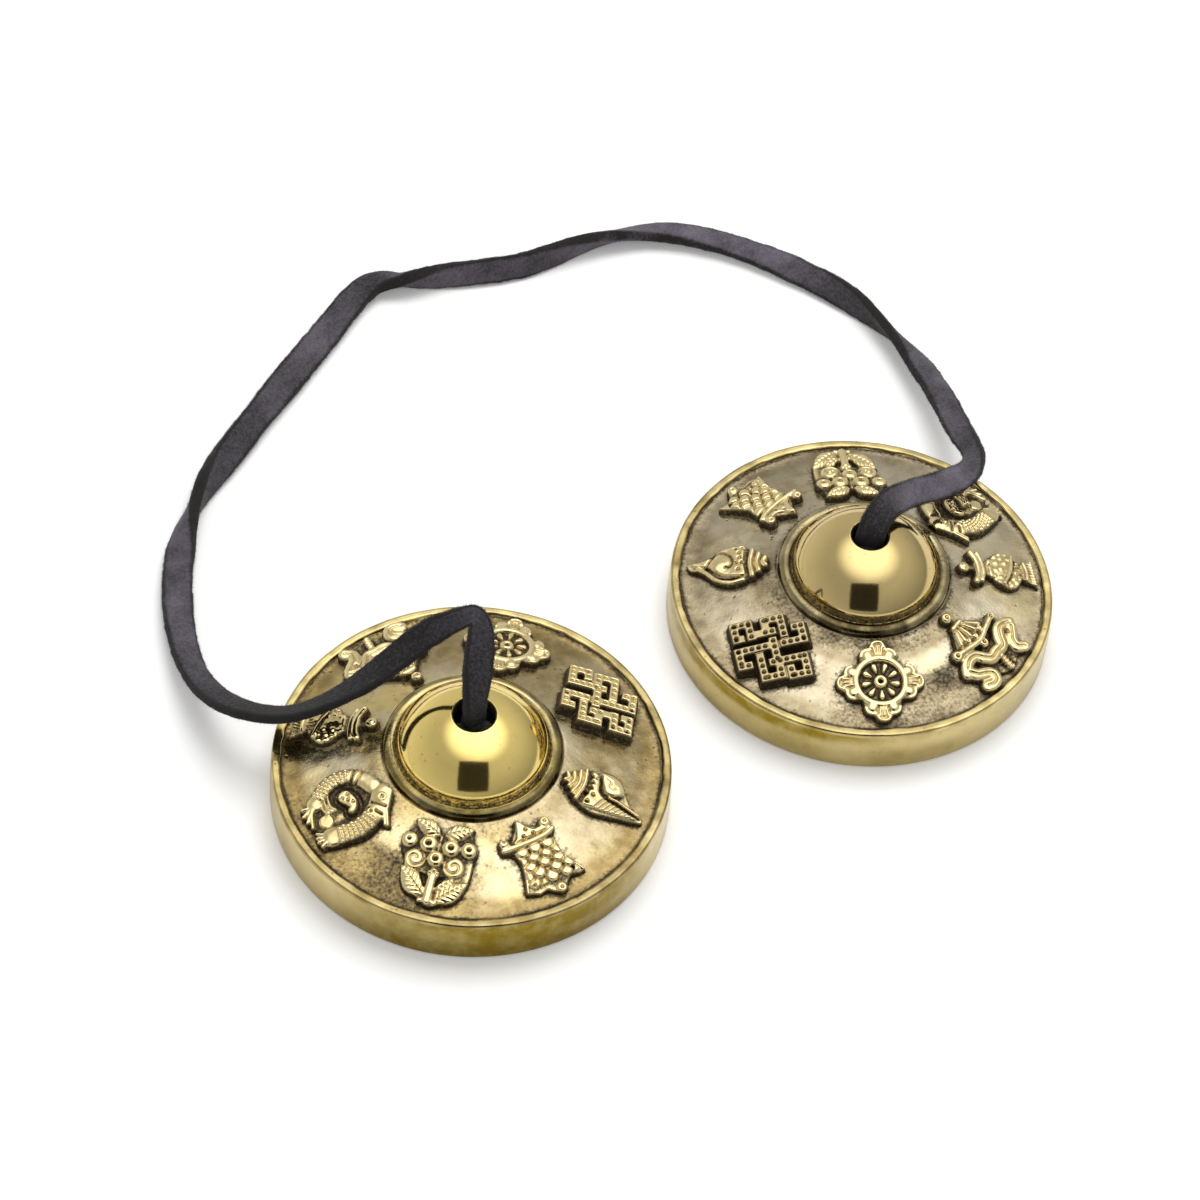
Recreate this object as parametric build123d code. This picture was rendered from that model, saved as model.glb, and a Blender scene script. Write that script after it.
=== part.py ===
from build123d import *
import os
from math import atan2, cos, degrees, hypot, pi, radians, sin, sqrt, tan

# A pair of cast tingsha cymbals, joined by one leather strap.
# Millimetres, +Z up, standing on z = 0. The origin lies midway between the two cymbals
# and +X runs from the centre of the left cymbal to the centre of the right one.

# Rim of a cymbal
LIP_DIAMETER = 65.0
RIM_FLARE = 0.2            # the foot of the rim stands this far outside the lip
RIM_HEIGHT = 8.5
RIM_WALL = 4.0
LIP_WIDTH = 1.6
LIP_BEVEL = 0.45
FOOT_BEVEL = 0.5

# Sloping field between the rim and the dome
LIP_STEP = 0.6             # the field starts this far below the lip
LIP_STEP_RUN = 0.2
FIELD_RISE = 3.9
FIELD_WALL = 3.0

# Dome and the collar round its foot
DOME_DIAMETER = 26.0
DOME_HEIGHT = 9.15         # from the inner edge of the field to the edge of the hole
DOME_WALL = 2.2
COLLAR_WIDTH = 1.65
COLLAR_HEIGHT = 1.1
COLLAR_GROOVE = 0.45       # depth of the groove between the collar and the dome
HOLE_BEVEL = 0.5

# Ring of eight relief emblems
EMBLEM_SPAN = 15.0         # radial length of an emblem
EMBLEM_LOW = 0.7           # height of an emblem's ground plate above the field
EMBLEM_HIGH = 1.35         # height of its raised figure
EMBLEM_ROOT = 0.6          # how far the casting of an emblem runs into the field
SKETCH_UNITS = 15          # the emblem sketches are drawn this many units long
STUD_SIDES = 7             # sides of a small boss

# Where the two cymbals lie
RIM_GAP = 11.35            # between the feet of the two rims
LEFT_TURN = 45.0           # polar angle of the wheel emblem on each cymbal, in degrees
RIGHT_TURN = -117.1

# Leather strap, knotted under each dome
STRAP_WIDTH = 4.6
STRAP_THICKNESS = 1.9
STRAP_PLAY = 2.2           # the hole in the dome is this much wider than the strap
KNOT_OVERHANG = 1.1        # the knot stands this far past the hole, all round
KNOT_HEIGHT = 6.4
KNOT_TAIL = 4.0            # cut end of the strap below the knot
SEAT_CLEARANCE = 0.3       # knot to dome, and between the strap's halves where it bends
STRAP_SIDES = 6            # sides of the strap's plain section

# Radii and heights that follow from these sizes
lip_r = LIP_DIAMETER / 2
foot_r = lip_r + RIM_FLARE
lip_inner_r = lip_r - LIP_WIDTH
field_outer_r = lip_inner_r - LIP_STEP_RUN
field_outer_z = RIM_HEIGHT - LIP_STEP
field_inner_z = field_outer_z + FIELD_RISE
dome_r = DOME_DIAMETER / 2
collar_r = dome_r + COLLAR_WIDTH
collar_top_z = field_inner_z + COLLAR_HEIGHT
dome_foot_z = collar_top_z - COLLAR_GROOVE
hole_r = (STRAP_WIDTH + STRAP_PLAY) / 2
dome_top_z = field_inner_z + DOME_HEIGHT
field_run = field_outer_r - collar_r
field_slope = FIELD_RISE / field_run
centre_x = foot_r + RIM_GAP / 2

# The dome is part of a sphere through its foot and the edge of the hole
sphere_z = (dome_r**2 - hole_r**2 + dome_foot_z**2 - dome_top_z**2) / (2 * (dome_foot_z - dome_top_z))
sphere_r = hypot(dome_r, dome_foot_z - sphere_z)
hollow_r = sphere_r - DOME_WALL
hole_lower_z = sphere_z + sqrt(hollow_r**2 - hole_r**2)

# Strap as a faceted tube of the same section area
tube_area = STRAP_WIDTH * STRAP_THICKNESS
tube_r = sqrt(2 * tube_area / (STRAP_SIDES * sin(2 * pi / STRAP_SIDES)))
knot_r = hole_r + KNOT_OVERHANG


def on_sphere(radius, angle):
    """Point of the dome's section, at an angle from the horizontal."""
    return (radius * cos(angle), sphere_z + radius * sin(angle))


def sphere_arc(radius, start, end):
    """Arc of the dome's section between two points that lie on it."""
    first = atan2(start[1] - sphere_z, start[0])
    last = atan2(end[1] - sphere_z, end[0])
    return ThreePointArc(start, on_sphere(radius, (first + last) / 2), end)


def hollow_corner():
    """Where the hollow of the dome meets the underside of the field."""
    rise = field_inner_z - FIELD_WALL + field_slope * collar_r - sphere_z
    root = sqrt((1 + field_slope**2) * hollow_r**2 - rise**2)
    radius = (field_slope * rise + root) / (1 + field_slope**2)
    return (radius, sphere_z + rise - field_slope * radius)


def cymbal_body():
    """Rim, field, collar and dome, turned about the axis of the hole."""
    rim_inner_r = foot_r - RIM_WALL
    under_rim_z = field_outer_z - FIELD_WALL + field_slope * (field_outer_r - rim_inner_r)
    foot_out, foot_in = (foot_r, 0), (rim_inner_r, 0)
    lip_out, lip_in = (lip_r, RIM_HEIGHT), (lip_inner_r, RIM_HEIGHT)
    field_out, field_in = (field_outer_r, field_outer_z), (collar_r, field_inner_z)
    collar_top = (dome_r + COLLAR_WIDTH / 2, collar_top_z)
    dome_foot, hole_top = (dome_r, dome_foot_z), (hole_r, dome_top_z)
    hole_under, hollow_end = (hole_r, hole_lower_z), hollow_corner()
    under_rim = (rim_inner_r, under_rim_z)
    boundary = [
        Polyline(foot_in, foot_out, lip_out, lip_in, field_out, field_in),
        ThreePointArc(field_in, collar_top, dome_foot),
        sphere_arc(sphere_r, dome_foot, hole_top),
        Line(hole_top, hole_under),
        sphere_arc(hollow_r, hole_under, hollow_end),
        Polyline(hollow_end, under_rim, foot_in),
    ]
    section = make_face(Curve() + boundary)
    edges = ((lip_out, LIP_BEVEL), (lip_in, LIP_BEVEL), (foot_out, FOOT_BEVEL), (hole_top, HOLE_BEVEL))
    for point, bevel in edges:
        corner = section.vertices().sort_by_distance(Vector(*point))[0]
        section = chamfer(corner, bevel)
    return revolve(Plane.XZ * section, Axis.Z)


def stud(u, v, radius):
    """Small boss of an emblem."""
    return Pos(u, v) * RegularPolygon(radius, STUD_SIDES)


def lozenge(length, flat, width):
    """Six-sided plate with a tip at each end and straight sides of the flat length."""
    tip, side, half = length / 2, flat / 2, width / 2
    upper = ((-tip, 0), (-side, half), (side, half))
    lower = ((tip, 0), (side, -half), (-side, -half))
    return make_face(Polyline(*upper, *lower, close=True))


def bar(start, end, width):
    """Bar with pointed ends between two points."""
    middle = ((start[0] + end[0]) / 2, (start[1] + end[1]) / 2)
    run = (end[0] - start[0], end[1] - start[1])
    length = hypot(*run)
    return Pos(*middle) * Rot(0, 0, degrees(atan2(run[1], run[0]))) * lozenge(length + width, length, width)


def leaf(u, v, length, width, turn):
    """Pointed leaf about a middle point."""
    return Pos(u, v) * Rot(0, 0, turn) * lozenge(length, length / 3, width)


def square_band(points, width):
    """Flat band with square corners, along runs that are level or upright."""
    pieces = []
    for start, end in zip(points, points[1:]):
        size = (abs(end[0] - start[0]) + width, abs(end[1] - start[1]) + width)
        middle = ((start[0] + end[0]) / 2, (start[1] + end[1]) / 2)
        pieces.append(Pos(*middle) * Rectangle(*size))
    return Sketch() + pieces


def crescent(start, through, end, width):
    """Curved sliver between two points, as wide as stated where it passes the third."""
    rise = Vector(*through) - (Vector(*start) + Vector(*end)) / 2
    swell = rise.normalized() * (width / 2)
    outer = ThreePointArc(start, Vector(*through) + swell, end)
    inner = ThreePointArc(end, Vector(*through) - swell, start)
    return make_face(Curve() + [outer, inner])


def outline(*points):
    """Plate with straight sides."""
    return make_face(Polyline(*points, close=True))


# Each emblem is drawn flat: v points to the dome, u to the left as seen from the dome.
# A sketch function returns the ground plate and the raised figure.

def wheel():
    """Wheel of nine petals in a four-lobed diamond."""
    petals = 9
    plate = Rot(0, 0, 45) * Rectangle(8.6, 8.6)
    figure = Circle(4.5) - Circle(3.7) + stud(0, 0, 1.0)
    petal = outline((1.5, 0), (3.3, 0.75), (3.3, -0.75))
    figure += [Rot(0, 0, 360 / petals * number) * petal for number in range(petals)]
    for quarter in range(4):
        turn = Rot(0, 0, 90 * quarter)
        lobe = outline((-3.2, 3.6), (-2.6, 5.6), (0, 7.5), (2.6, 5.6), (3.2, 3.6))
        plate += turn * lobe
        figure += [turn * leaf(0, 6.1, 2.4, 1.4, 90), turn * leaf(2.1, 5.0, 1.7, 1.0, 20)]
        figure += turn * leaf(-2.1, 5.0, 1.7, 1.0, -20)
    return plate, figure


def endless_knot():
    """Interlaced square bands, standing on one corner."""
    width = 1.5
    bands = (
        ((-2.7, 4.2), (-2.7, 5.2), (-0.2, 5.2), (-0.2, 1.9)),
        ((-1.9, 2.2), (-5.0, 2.2), (-5.0, -0.5), (-4.2, -0.5)),
        ((2.8, -0.6), (2.8, 4.6), (5.9, 4.6), (5.9, 2.0), (4.6, 2.0)),
        ((-1.0, 0.2), (2.8, 0.2)),
        ((-2.8, 0.4), (-2.8, -1.6)),
        ((4.4, 0.3), (5.4, 0.3), (5.4, -2.5), (1.4, -2.5)),
        ((-0.3, -1.3), (-0.3, -5.8), (2.5, -5.8), (2.5, -4.6)),
        ((-2.6, -3.1), (-5.2, -3.1), (-5.2, -5.6), (-2.6, -5.6), (-2.6, -4.9)),
    )
    stand = Rot(0, 0, -36)
    figure = Sketch() + [square_band(points, width) for points in bands]
    return stand * Rectangle(12.4, 12.2), stand * figure


def conch():
    """Conch shell, its spire to the dome and its siphon to the rim."""
    tip, shoulder_left, top = (-1.2, -7.2), (-3.4, 3.6), (0, 7.2)
    shoulder_right, lip = (3.4, 3.6), (1.6, -3.6)
    plate = make_face(Curve() + [
        ThreePointArc(tip, (-4.0, 0.0), shoulder_left),
        Polyline(shoulder_left, (-1.8, 6.4), top, (1.8, 6.4), shoulder_right),
        ThreePointArc(shoulder_right, (4.6, 0.2), lip),
        Line(lip, tip),
    ])
    ribs = [bar((-reach, v), (reach, v), 0.75) for reach, v in ((0.5, 6.3), (1.3, 5.2), (2.1, 4.1))]
    body = make_face(Curve() + [
        ThreePointArc((-1.1, -6.2), (-3.3, -1.0), (-3.2, 2.9)),
        Polyline((-3.2, 2.9), (3.0, 2.9), (3.5, 0.8), (2.9, -0.6)),
        ThreePointArc((2.9, -0.6), (1.0, 1.6), (-0.6, -0.8)),
        Line((-0.6, -0.8), (-1.1, -6.2)),
    ])
    return plate, Sketch() + ribs + body + stud(1.2, -0.9, 1.3)


def banner():
    """Victory banner: a crowned band over a flared skirt of scales."""
    left, right = (-3.5, 2.8), (3.5, 2.8)
    hem_left, hem_right = (-4.7, -4.9), (5.4, -4.6)
    skirt = make_face(Curve() + [
        Line(left, right),
        ThreePointArc(right, (3.6, -1.2), hem_right),
        Polyline(hem_right, (2.0, -6.0), (0.8, -5.2), (-0.4, -6.0), (-1.6, -5.2), (-2.8, -6.0), hem_left),
        ThreePointArc(hem_left, (-3.3, -1.2), left),
    ])
    crown = outline((-3.0, 3.4), (2.6, 3.4), (-0.7, 7.0))
    head = [bar((-4.4, 3.3), (3.6, 3.5), 1.3), stud(-4.4, 4.2, 1.1), stud(3.6, 4.7, 1.15)]
    rows, pitch, fall = 4, 1.9, 1.75
    scale_plate = outline((-0.75, 0.7), (0.75, 0.7), (0.5, -0.5), (0, -0.8), (-0.5, -0.5))
    scales = []
    for row in range(rows):
        count = 3 + row % 2
        first = 0.1 - pitch * (count - 1) / 2
        scales += [Pos(first + pitch * number, 1.7 - fall * row) * scale_plate for number in range(count)]
    return Sketch() + skirt + crown, Sketch() + head + scales


def lotus():
    """Flower head of round buds between leaves."""
    buds = ((-4.6, 3.2), (-1.7, 3.0), (1.9, 3.1), (4.6, 3.4), (-3.1, 0.1), (0.0, 1.0), (3.3, 0.1))
    upper = [leaf(-2.2, 6.0, 4.4, 1.9, -28), leaf(2.4, 6.2, 4.4, 1.9, 30)]
    lower = [leaf(-2.8, -3.0, 5.6, 2.4, -45), leaf(3.1, -3.0, 5.6, 2.4, 45)]
    crown = ((-6.0, 3.2), (-4.8, 4.8), (0.1, 4.6), (4.8, 5.0), (6.0, 3.4))
    root = ((5.2, -1.4), (4.2, -4.6), (0.4, -7.0), (-3.4, -4.6), (-4.9, -1.4))
    stem = bar((0.2, -1.6), (0.3, -5.2), 1.2)
    figure = Sketch() + [stud(u, v, 1.2) for u, v in buds] + upper + lower + stem
    return outline(*crown, *root), figure


def fish_pair():
    """Two fish bent round a flower, heads to the dome and tails to the rim."""
    left = crescent((0.2, 5.6), (-3.9, 1.0), (-0.4, -4.4), 2.7)
    right = crescent((2.6, 6.4), (6.0, 1.0), (4.8, -4.4), 2.7)
    tails = [outline((-0.9, -3.6), (-0.6, -6.4), (1.9, -6.6)), outline((5.2, -3.4), (3.9, -6.6), (6.8, -6.2))]
    fins = [leaf(-3.0, 4.7, 3.2, 1.1, 38), leaf(6.6, 4.5, 3.2, 1.1, -22)]
    flower = Pos(1.3, 0.7) * Rot(0, 0, 12) * lozenge(4.6, 2.2, 2.6)
    ground = outline((-0.4, 5.0), (-4.4, 1.8), (-3.6, -2.2), (0.4, -6.0), (4.6, -5.6), (6.9, 0.6), (3.4, 5.6))
    return Sketch() + ground + fins, Sketch() + left + right + tails + flower


def vase():
    """Treasure vase with a lid, a round belly and a flared foot."""
    lid = outline((-4.0, 4.6), (-3.4, 3.4), (-1.0, 2.8), (1.4, 3.2), (2.0, 4.4), (-1.0, 4.2))
    neck = Pos(-1.0, 1.7) * Rectangle(3.6, 2.4)
    belly = Pos(-1.0, -1.6) * Ellipse(4.0, 3.0)
    foot = outline((-2.7, -4.2), (0.7, -4.2), (1.7, -7.2), (-3.7, -7.2))
    ball = stud(-1.4, 6.3, 1.0)
    stalk = Pos(-1.2, 4.8) * Rectangle(1.6, 2.0)
    sash = crescent((-4.4, -0.6), (-1.0, -2.7), (2.4, -0.6), 1.1)
    bands = [bar((-2.2, v), (0.3, v), 0.9) for v in (1.3, -5.2)]
    return Sketch() + neck + belly + foot + stalk, Sketch() + lid + ball + sash + bands


def parasol():
    """Ribbed parasol over two waving ribbons."""
    top, left, right = (-1.0, 5.4), (-5.4, 1.3), (4.6, 1.3)
    canopy = make_face(Curve() + [
        ThreePointArc(left, (-3.8, 4.0), top),
        ThreePointArc(top, (2.2, 4.0), right),
        ThreePointArc(right, (-0.4, -0.6), left),
    ])
    ribs = [bar((-1.0 + 0.45 * step, 4.4), (-0.9 + 1.25 * step, 1.6), 0.7) for step in (-2, -1, 0, 1, 2)]
    brim = crescent((-5.6, 1.4), (-0.3, -0.2), (5.0, 1.4), 1.2)
    discs = [stud(-5.5, 1.0, 1.0), stud(4.9, 1.0, 1.0), stud(-0.2, -1.2, 0.9), stud(-1.0, 6.4, 1.0)]
    wave = ((0.3, -3.5), (2.4, -3.7), (4.2, -1.5), (5.8, -2.6), (4.6, -4.6), (5.8, -6.4))
    ribbons = []
    for side in (-1, 1):
        points = [(side * u, v) for u, v in wave]
        ribbons += [bar(start, end, 1.1) for start, end in zip(points, points[1:])]
    tie = bar((0.2, -4.6), (0.3, -6.5), 1.5)
    knot_plate = outline((-5.4, -1.4), (5.4, -1.4), (4.6, -5.2), (-4.6, -5.2))
    return Sketch() + canopy + knot_plate, Sketch() + ribs + brim + discs + ribbons + tie


# Sketch of each emblem and its place, in degrees clockwise from the wheel
EMBLEMS = (
    (wheel, 0),
    (endless_knot, 48),
    (conch, 97),
    (banner, 138),
    (lotus, 181),
    (fish_pair, 231),
    (vase, 266),
    (parasol, 309),
)


def emblem_ring():
    """The eight emblems, each standing square to the slope of the field."""
    ring_r = (collar_r + field_outer_r) / 2
    ring_z = (field_inner_z + field_outer_z) / 2
    ground = Plane((ring_r, 0, ring_z), x_dir=(0, 1, 0), z_dir=(field_slope, 0, 1))
    solids = []
    for sketch, place in EMBLEMS:
        for layer, height in zip(sketch(), (EMBLEM_LOW, EMBLEM_HIGH)):
            layer = scale(layer, EMBLEM_SPAN / SKETCH_UNITS)
            relief = Pos(0, 0, -EMBLEM_ROOT) * extrude(layer, EMBLEM_ROOT + height)
            solids.append(Rot(0, 0, -place) * ground.location * relief)
    return solids


def knot_middle():
    """Half height of a knot, and its height when it sits under the hole."""
    half = KNOT_HEIGHT / 2
    bulge = knot_r - tube_r
    arc_r = (half**2 + bulge**2) / (2 * bulge)
    reach = hole_r - (knot_r - arc_r)
    return half, hole_lower_z - sqrt((arc_r + SEAT_CLEARANCE)**2 - reach**2)


knot_half, knot_z = knot_middle()
strap_start_z = knot_z + knot_half


def knot(x):
    """Knot of the strap inside a dome, with its cut end."""
    low, high = knot_z - knot_half, strap_start_z
    boundary = [
        ThreePointArc((tube_r, low), (knot_r, knot_z), (tube_r, high)),
        Polyline((tube_r, high), (0, high), (0, low - KNOT_TAIL), (tube_r, low - KNOT_TAIL), (tube_r, low)),
    ]
    return Pos(x, 0, 0) * revolve(Plane.XZ * make_face(Curve() + boundary), Axis.Z)


# Route of the strap, chosen by hand from the photograph. The end stretches are measured
# from the centre of their cymbal, the arch on the table from the origin.
LEFT_END = (
    (0.0, 0.0, strap_start_z),
    (0.0, 0.0, 23.6),
    (2.9, 3.7, 29.6),
    (5.2, 7.0, 33.0),
    (2.9, 10.9, 33.4),
    (-1.2, 12.7, 28.6),
    (-5.4, 14.6, 23.4),
    (-11.4, 16.2, 18.4),
    (-17.8, 17.7, 15.0),
    (-23.6, 19.8, 13.0),
    (-28.2, 26.0, 10.2),
    (-29.8, 34.4, 6.4),
)
ARCH_LEFT = (
    (-67.4, 43.6, 3.4),
    (-63.8, 54.4, 2.2),
    (-58.2, 64.8, 2.0),
    (-50.6, 74.2, 2.0),
    (-39.4, 82.2, 2.0),
    (-25.6, 91.0, 2.0),
    (-11.2, 99.2, 2.0),
    (0.0, 105.4, 2.2),
    (4.8, 106.2, 2.4),
    (9.2, 103.6, 2.2),
    (18.8, 100.4, 2.0),
)
BEND = (25.3, 98.2, 2.0)   # on the run across the top of the arch
ARCH_RIGHT = (
    (31.8, 96.2, 2.0),
    (44.4, 95.8, 2.0),
    (55.8, 92.4, 2.0),
    (64.9, 84.8, 2.0),
    (72.2, 74.6, 2.0),
    (77.6, 63.0, 2.0),
    (80.0, 49.4, 2.6),
    (78.5, 37.8, 4.2),
    (75.7, 27.6, 6.6),
)
RIGHT_END = (
    (34.6, 19.5, 9.2),
    (32.4, 13.3, 11.6),
    (28.9, 8.9, 13.4),
    (24.3, 6.8, 15.2),
    (17.4, 5.3, 18.4),
    (8.6, 3.6, 22.4),
    (3.4, 1.5, 25.0),
    (0.0, 0.0, 23.3),
    (0.0, 0.0, strap_start_z),
)


def bend_radii(points):
    """Largest arc that the two runs at each inner point allow."""
    radii = []
    for before, here, after in zip(points, points[1:], points[2:]):
        first, second = here - before, after - here
        turn = radians(first.get_angle(second))
        radii.append(0.45 * min(first.length, second.length) / tan(turn / 2))
    return radii


def strap(name, points):
    """Tube along straight runs joined by arcs."""
    points = [Vector(*point) for point in points]
    radii = bend_radii(points)
    path = FilletPolyline(*points, radius=radii)
    tube = sweep(Plane(path @ 0, z_dir=path % 0) * RegularPolygon(tube_r, STRAP_SIDES), path)
    print(name, "length", round(path.length, 1), "radii", [round(radius, 1) for radius in radii])
    print(name, "volume over section times length", round(tube.volume / (tube_area * path.length), 4))
    return tube


def beside(x, points):
    """Points that are measured from the centre of a cymbal."""
    return [(x + point[0], point[1], point[2]) for point in points]


# At the bend the left half ends in a short upright barrel, and the right half is hollowed round it
tube_half = tube_r * cos(pi / STRAP_SIDES)
bend_point = Pos(*BEND)
barrel = bend_point * Cylinder(tube_half, 2 * tube_half)
hollow = bend_point * Cylinder(tube_half + SEAT_CLEARANCE, 4 * tube_half)
strap_left = strap("strap_left", [*beside(-centre_x, LEFT_END), *ARCH_LEFT, BEND])
strap_left += barrel
strap_right = strap("strap_right", [BEND, *ARCH_RIGHT, *beside(centre_x, RIGHT_END)])
strap_right -= hollow

cymbal = cymbal_body().fuse(*emblem_ring())

PARTS = {
    "left_cymbal": Pos(-centre_x, 0, 0) * Rot(0, 0, LEFT_TURN) * cymbal,
    "right_cymbal": Pos(centre_x, 0, 0) * Rot(0, 0, RIGHT_TURN) * cymbal,
    "strap_left": strap_left,
    "strap_right": strap_right,
    "left_knot": knot(-centre_x),
    "right_knot": knot(centre_x),
}

os.makedirs("parts", exist_ok=True)
for node, solid in PARTS.items():
    export_step(solid, f"parts/{node}.step")
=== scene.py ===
from math import atan2, cos, hypot, pi, radians, sin, sqrt

import bpy
import numpy as np
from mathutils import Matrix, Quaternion, Vector


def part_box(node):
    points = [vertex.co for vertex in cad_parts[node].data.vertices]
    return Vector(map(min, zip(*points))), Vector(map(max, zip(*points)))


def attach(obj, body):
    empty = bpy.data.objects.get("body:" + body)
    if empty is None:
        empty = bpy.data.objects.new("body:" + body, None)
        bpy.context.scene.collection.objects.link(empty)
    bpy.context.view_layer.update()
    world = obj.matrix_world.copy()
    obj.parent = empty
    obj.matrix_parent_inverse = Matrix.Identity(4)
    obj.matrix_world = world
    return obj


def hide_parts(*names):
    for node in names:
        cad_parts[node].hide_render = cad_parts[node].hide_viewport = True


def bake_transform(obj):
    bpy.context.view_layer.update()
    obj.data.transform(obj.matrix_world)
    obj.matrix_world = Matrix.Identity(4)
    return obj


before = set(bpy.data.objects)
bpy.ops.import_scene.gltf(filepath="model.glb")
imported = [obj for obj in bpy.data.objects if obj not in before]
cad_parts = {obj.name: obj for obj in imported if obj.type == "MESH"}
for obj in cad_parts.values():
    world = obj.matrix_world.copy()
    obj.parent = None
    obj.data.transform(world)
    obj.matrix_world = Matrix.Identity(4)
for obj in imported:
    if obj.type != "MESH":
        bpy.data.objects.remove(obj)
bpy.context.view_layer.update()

# Sizes are in millimetres, and are brought to metres where a mesh is made.
MM = 0.001

# Casting of a cymbal, in section
FOOT_R = 32.7
LIP_R = 32.5
LIP_TOP = 8.5
LIP_IN = 30.9
RIM_IN = 28.7
FIELD_OUT = (30.7, 7.9)
FIELD_IN = (14.65, 11.8)
FILLET_R = 27.5            # from here outwards the field levels out
COLLAR_TOP = (13.85, 13.15)
DOME_FOOT = (12.9, 12.7)
DOME_TUCK = 0.5            # how far the dome is drawn in at its foot
COLLAR_IN = (DOME_FOOT[0] - DOME_TUCK, DOME_FOOT[1])
HOLE_R = 3.4
SPHERE_Z = 7.439
SPHERE_R = 13.932
HOLLOW_R = 11.732
UNDER_IN = (11.7, 9.5)
UNDER_OUT = (RIM_IN, 5.4)
SEGMENTS = 480             # points round the casting

# Ring of emblems
RING_R = (FIELD_OUT[0] + FIELD_IN[0]) / 2
SLOPE = (FIELD_IN[1] - FIELD_OUT[1]) / (FIELD_OUT[0] - FIELD_IN[0])
LEAN = 1 / hypot(1, SLOPE)
GRAIN = 0.1                # spacing of the points of an emblem
SUNK = 0.3                 # how far the bare ground of an emblem lies below the field
STAND = 0.35               # how much prouder the emblems stand than in the source

# Strap
STRAP_WIDTH = 4.6
STRAP_THICKNESS = 1.9
STRAP_STEP = 0.45          # spacing of its points
STRAP_AROUND = 28          # points round it
STRAP_CORNER = 0.42        # the smaller this is, the squarer its section
FLOOR_GAP = 0.03           # least height of the strap above the table
KNOT_Z = 15.84             # middle of a knot
STRAP_START = 19.04        # top of a knot, where the strap leaves it


def centre_of(node):
    """Middle of a piece in plan, in millimetres."""
    low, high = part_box(node)
    return ((low[0] + high[0]) / 2 / MM, (low[1] + high[1]) / 2 / MM)


LEFT = centre_of("left_cymbal")
RIGHT = centre_of("right_cymbal")


def field_height(away):
    """Height of the sloping field, which levels out towards the lip."""
    level = FIELD_OUT[0] - FILLET_R
    steep = (FIELD_IN[1] - FIELD_OUT[1]) / (FILLET_R - FIELD_IN[0] + level / 2)
    over = np.maximum(away - FILLET_R, 0)
    return FIELD_IN[1] - steep * (away - FIELD_IN[0]) + steep * over**2 / (2 * level)


def ease(value):
    """Smooth step from nought to one."""
    value = np.clip(value, 0, 1)
    return value * value * (3 - 2 * value)


def rough(x, y, size, seed):
    """Smooth unevenness from -1 to 1, with bumps about as far apart as the size."""
    table = np.random.default_rng(seed).uniform(-1, 1, (96, 96))
    column, row = np.floor(x / size).astype(int), np.floor(y / size).astype(int)
    across, along = ease(x / size - column), ease(y / size - row)
    corners = [table[(row + j) % 96, (column + i) % 96] for j in (0, 1) for i in (0, 1)]
    near = corners[0] * (1 - across) + corners[1] * across
    far = corners[2] * (1 - across) + corners[3] * across
    return near * (1 - along) + far * along


def moved_copies(grid, steps, axis):
    """Copies of a height map, moved along an axis from some steps back to as many ahead."""
    spread = [(steps, steps) if side == axis else (0, 0) for side in (0, 1)]
    padded = np.pad(grid, spread, mode="edge")
    size = grid.shape[axis]
    return [np.take(padded, np.arange(size) + step, axis) for step in range(2 * steps + 1)]


def soften(grid, reach):
    """Blur of a height map, with the reach in millimetres."""
    steps = int(3 * reach / GRAIN)
    weights = np.exp(-0.5 * (np.arange(-steps, steps + 1) * GRAIN / reach) ** 2)
    weights /= weights.sum()
    for axis in (0, 1):
        copies = moved_copies(grid, steps, axis)
        grid = sum(weight * copy for weight, copy in zip(weights, copies))
    return grid


def highest_near(grid, reach):
    """Greatest height within a reach in millimetres."""
    steps = int(round(reach / GRAIN))
    for axis in (0, 1):
        grid = np.max(moved_copies(grid, steps, axis), axis=0)
    return grid


def link(thing):
    """Put an object in the scene."""
    bpy.context.collection.objects.link(thing)
    return thing


def evaluated_mesh(thing):
    """Plain mesh of an object as it comes out of its curve or its modifiers."""
    return bpy.data.meshes.new_from_object(thing.evaluated_get(bpy.context.evaluated_depsgraph_get()))


def make_mesh(name, points, faces, materials, slots=None, attributes=None):
    """Smooth mesh object from points in millimetres."""
    mesh = bpy.data.meshes.new(name)
    mesh.from_pydata((np.asarray(points) * MM).tolist(), [], faces)
    for material in materials:
        mesh.materials.append(material)
    if slots is not None:
        mesh.polygons.foreach_set("material_index", slots)
    for label, values in (attributes or {}).items():
        layer = mesh.attributes.new(label, "FLOAT", "POINT")
        layer.data.foreach_set("value", np.asarray(values, np.float32))
    mesh.shade_smooth()
    mesh.update()
    return link(bpy.data.objects.new(name, mesh))


def rings_to_quads(rings, around, closed):
    """Quads between rings of points; if closed, the last ring is joined to the first."""
    ring = np.arange(rings if closed else rings - 1)[:, None]
    step = np.arange(around)[None, :]
    here, after = ring * around, (ring + 1) % rings * around
    turn = (step + 1) % around
    return np.stack([here + step, here + turn, after + turn, after + step], -1).reshape(-1, 4)


def end_faces(rings, around):
    """Faces that close the first and the last ring."""
    last = (rings - 1) * around
    return [list(range(around)), list(range(last, last + around))[::-1]]


# Camera at the angle of the photograph

CAMERA_PLACE = Vector((-0.2398, -0.3118, 0.5034))
CAMERA_TARGET = Vector((0.00158, 0.02415, 0.0))
CAMERA_LENS = 114.36       # millimetres, on a sensor 36 wide
CAMERA_ROLL = 5.09         # degrees


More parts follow.
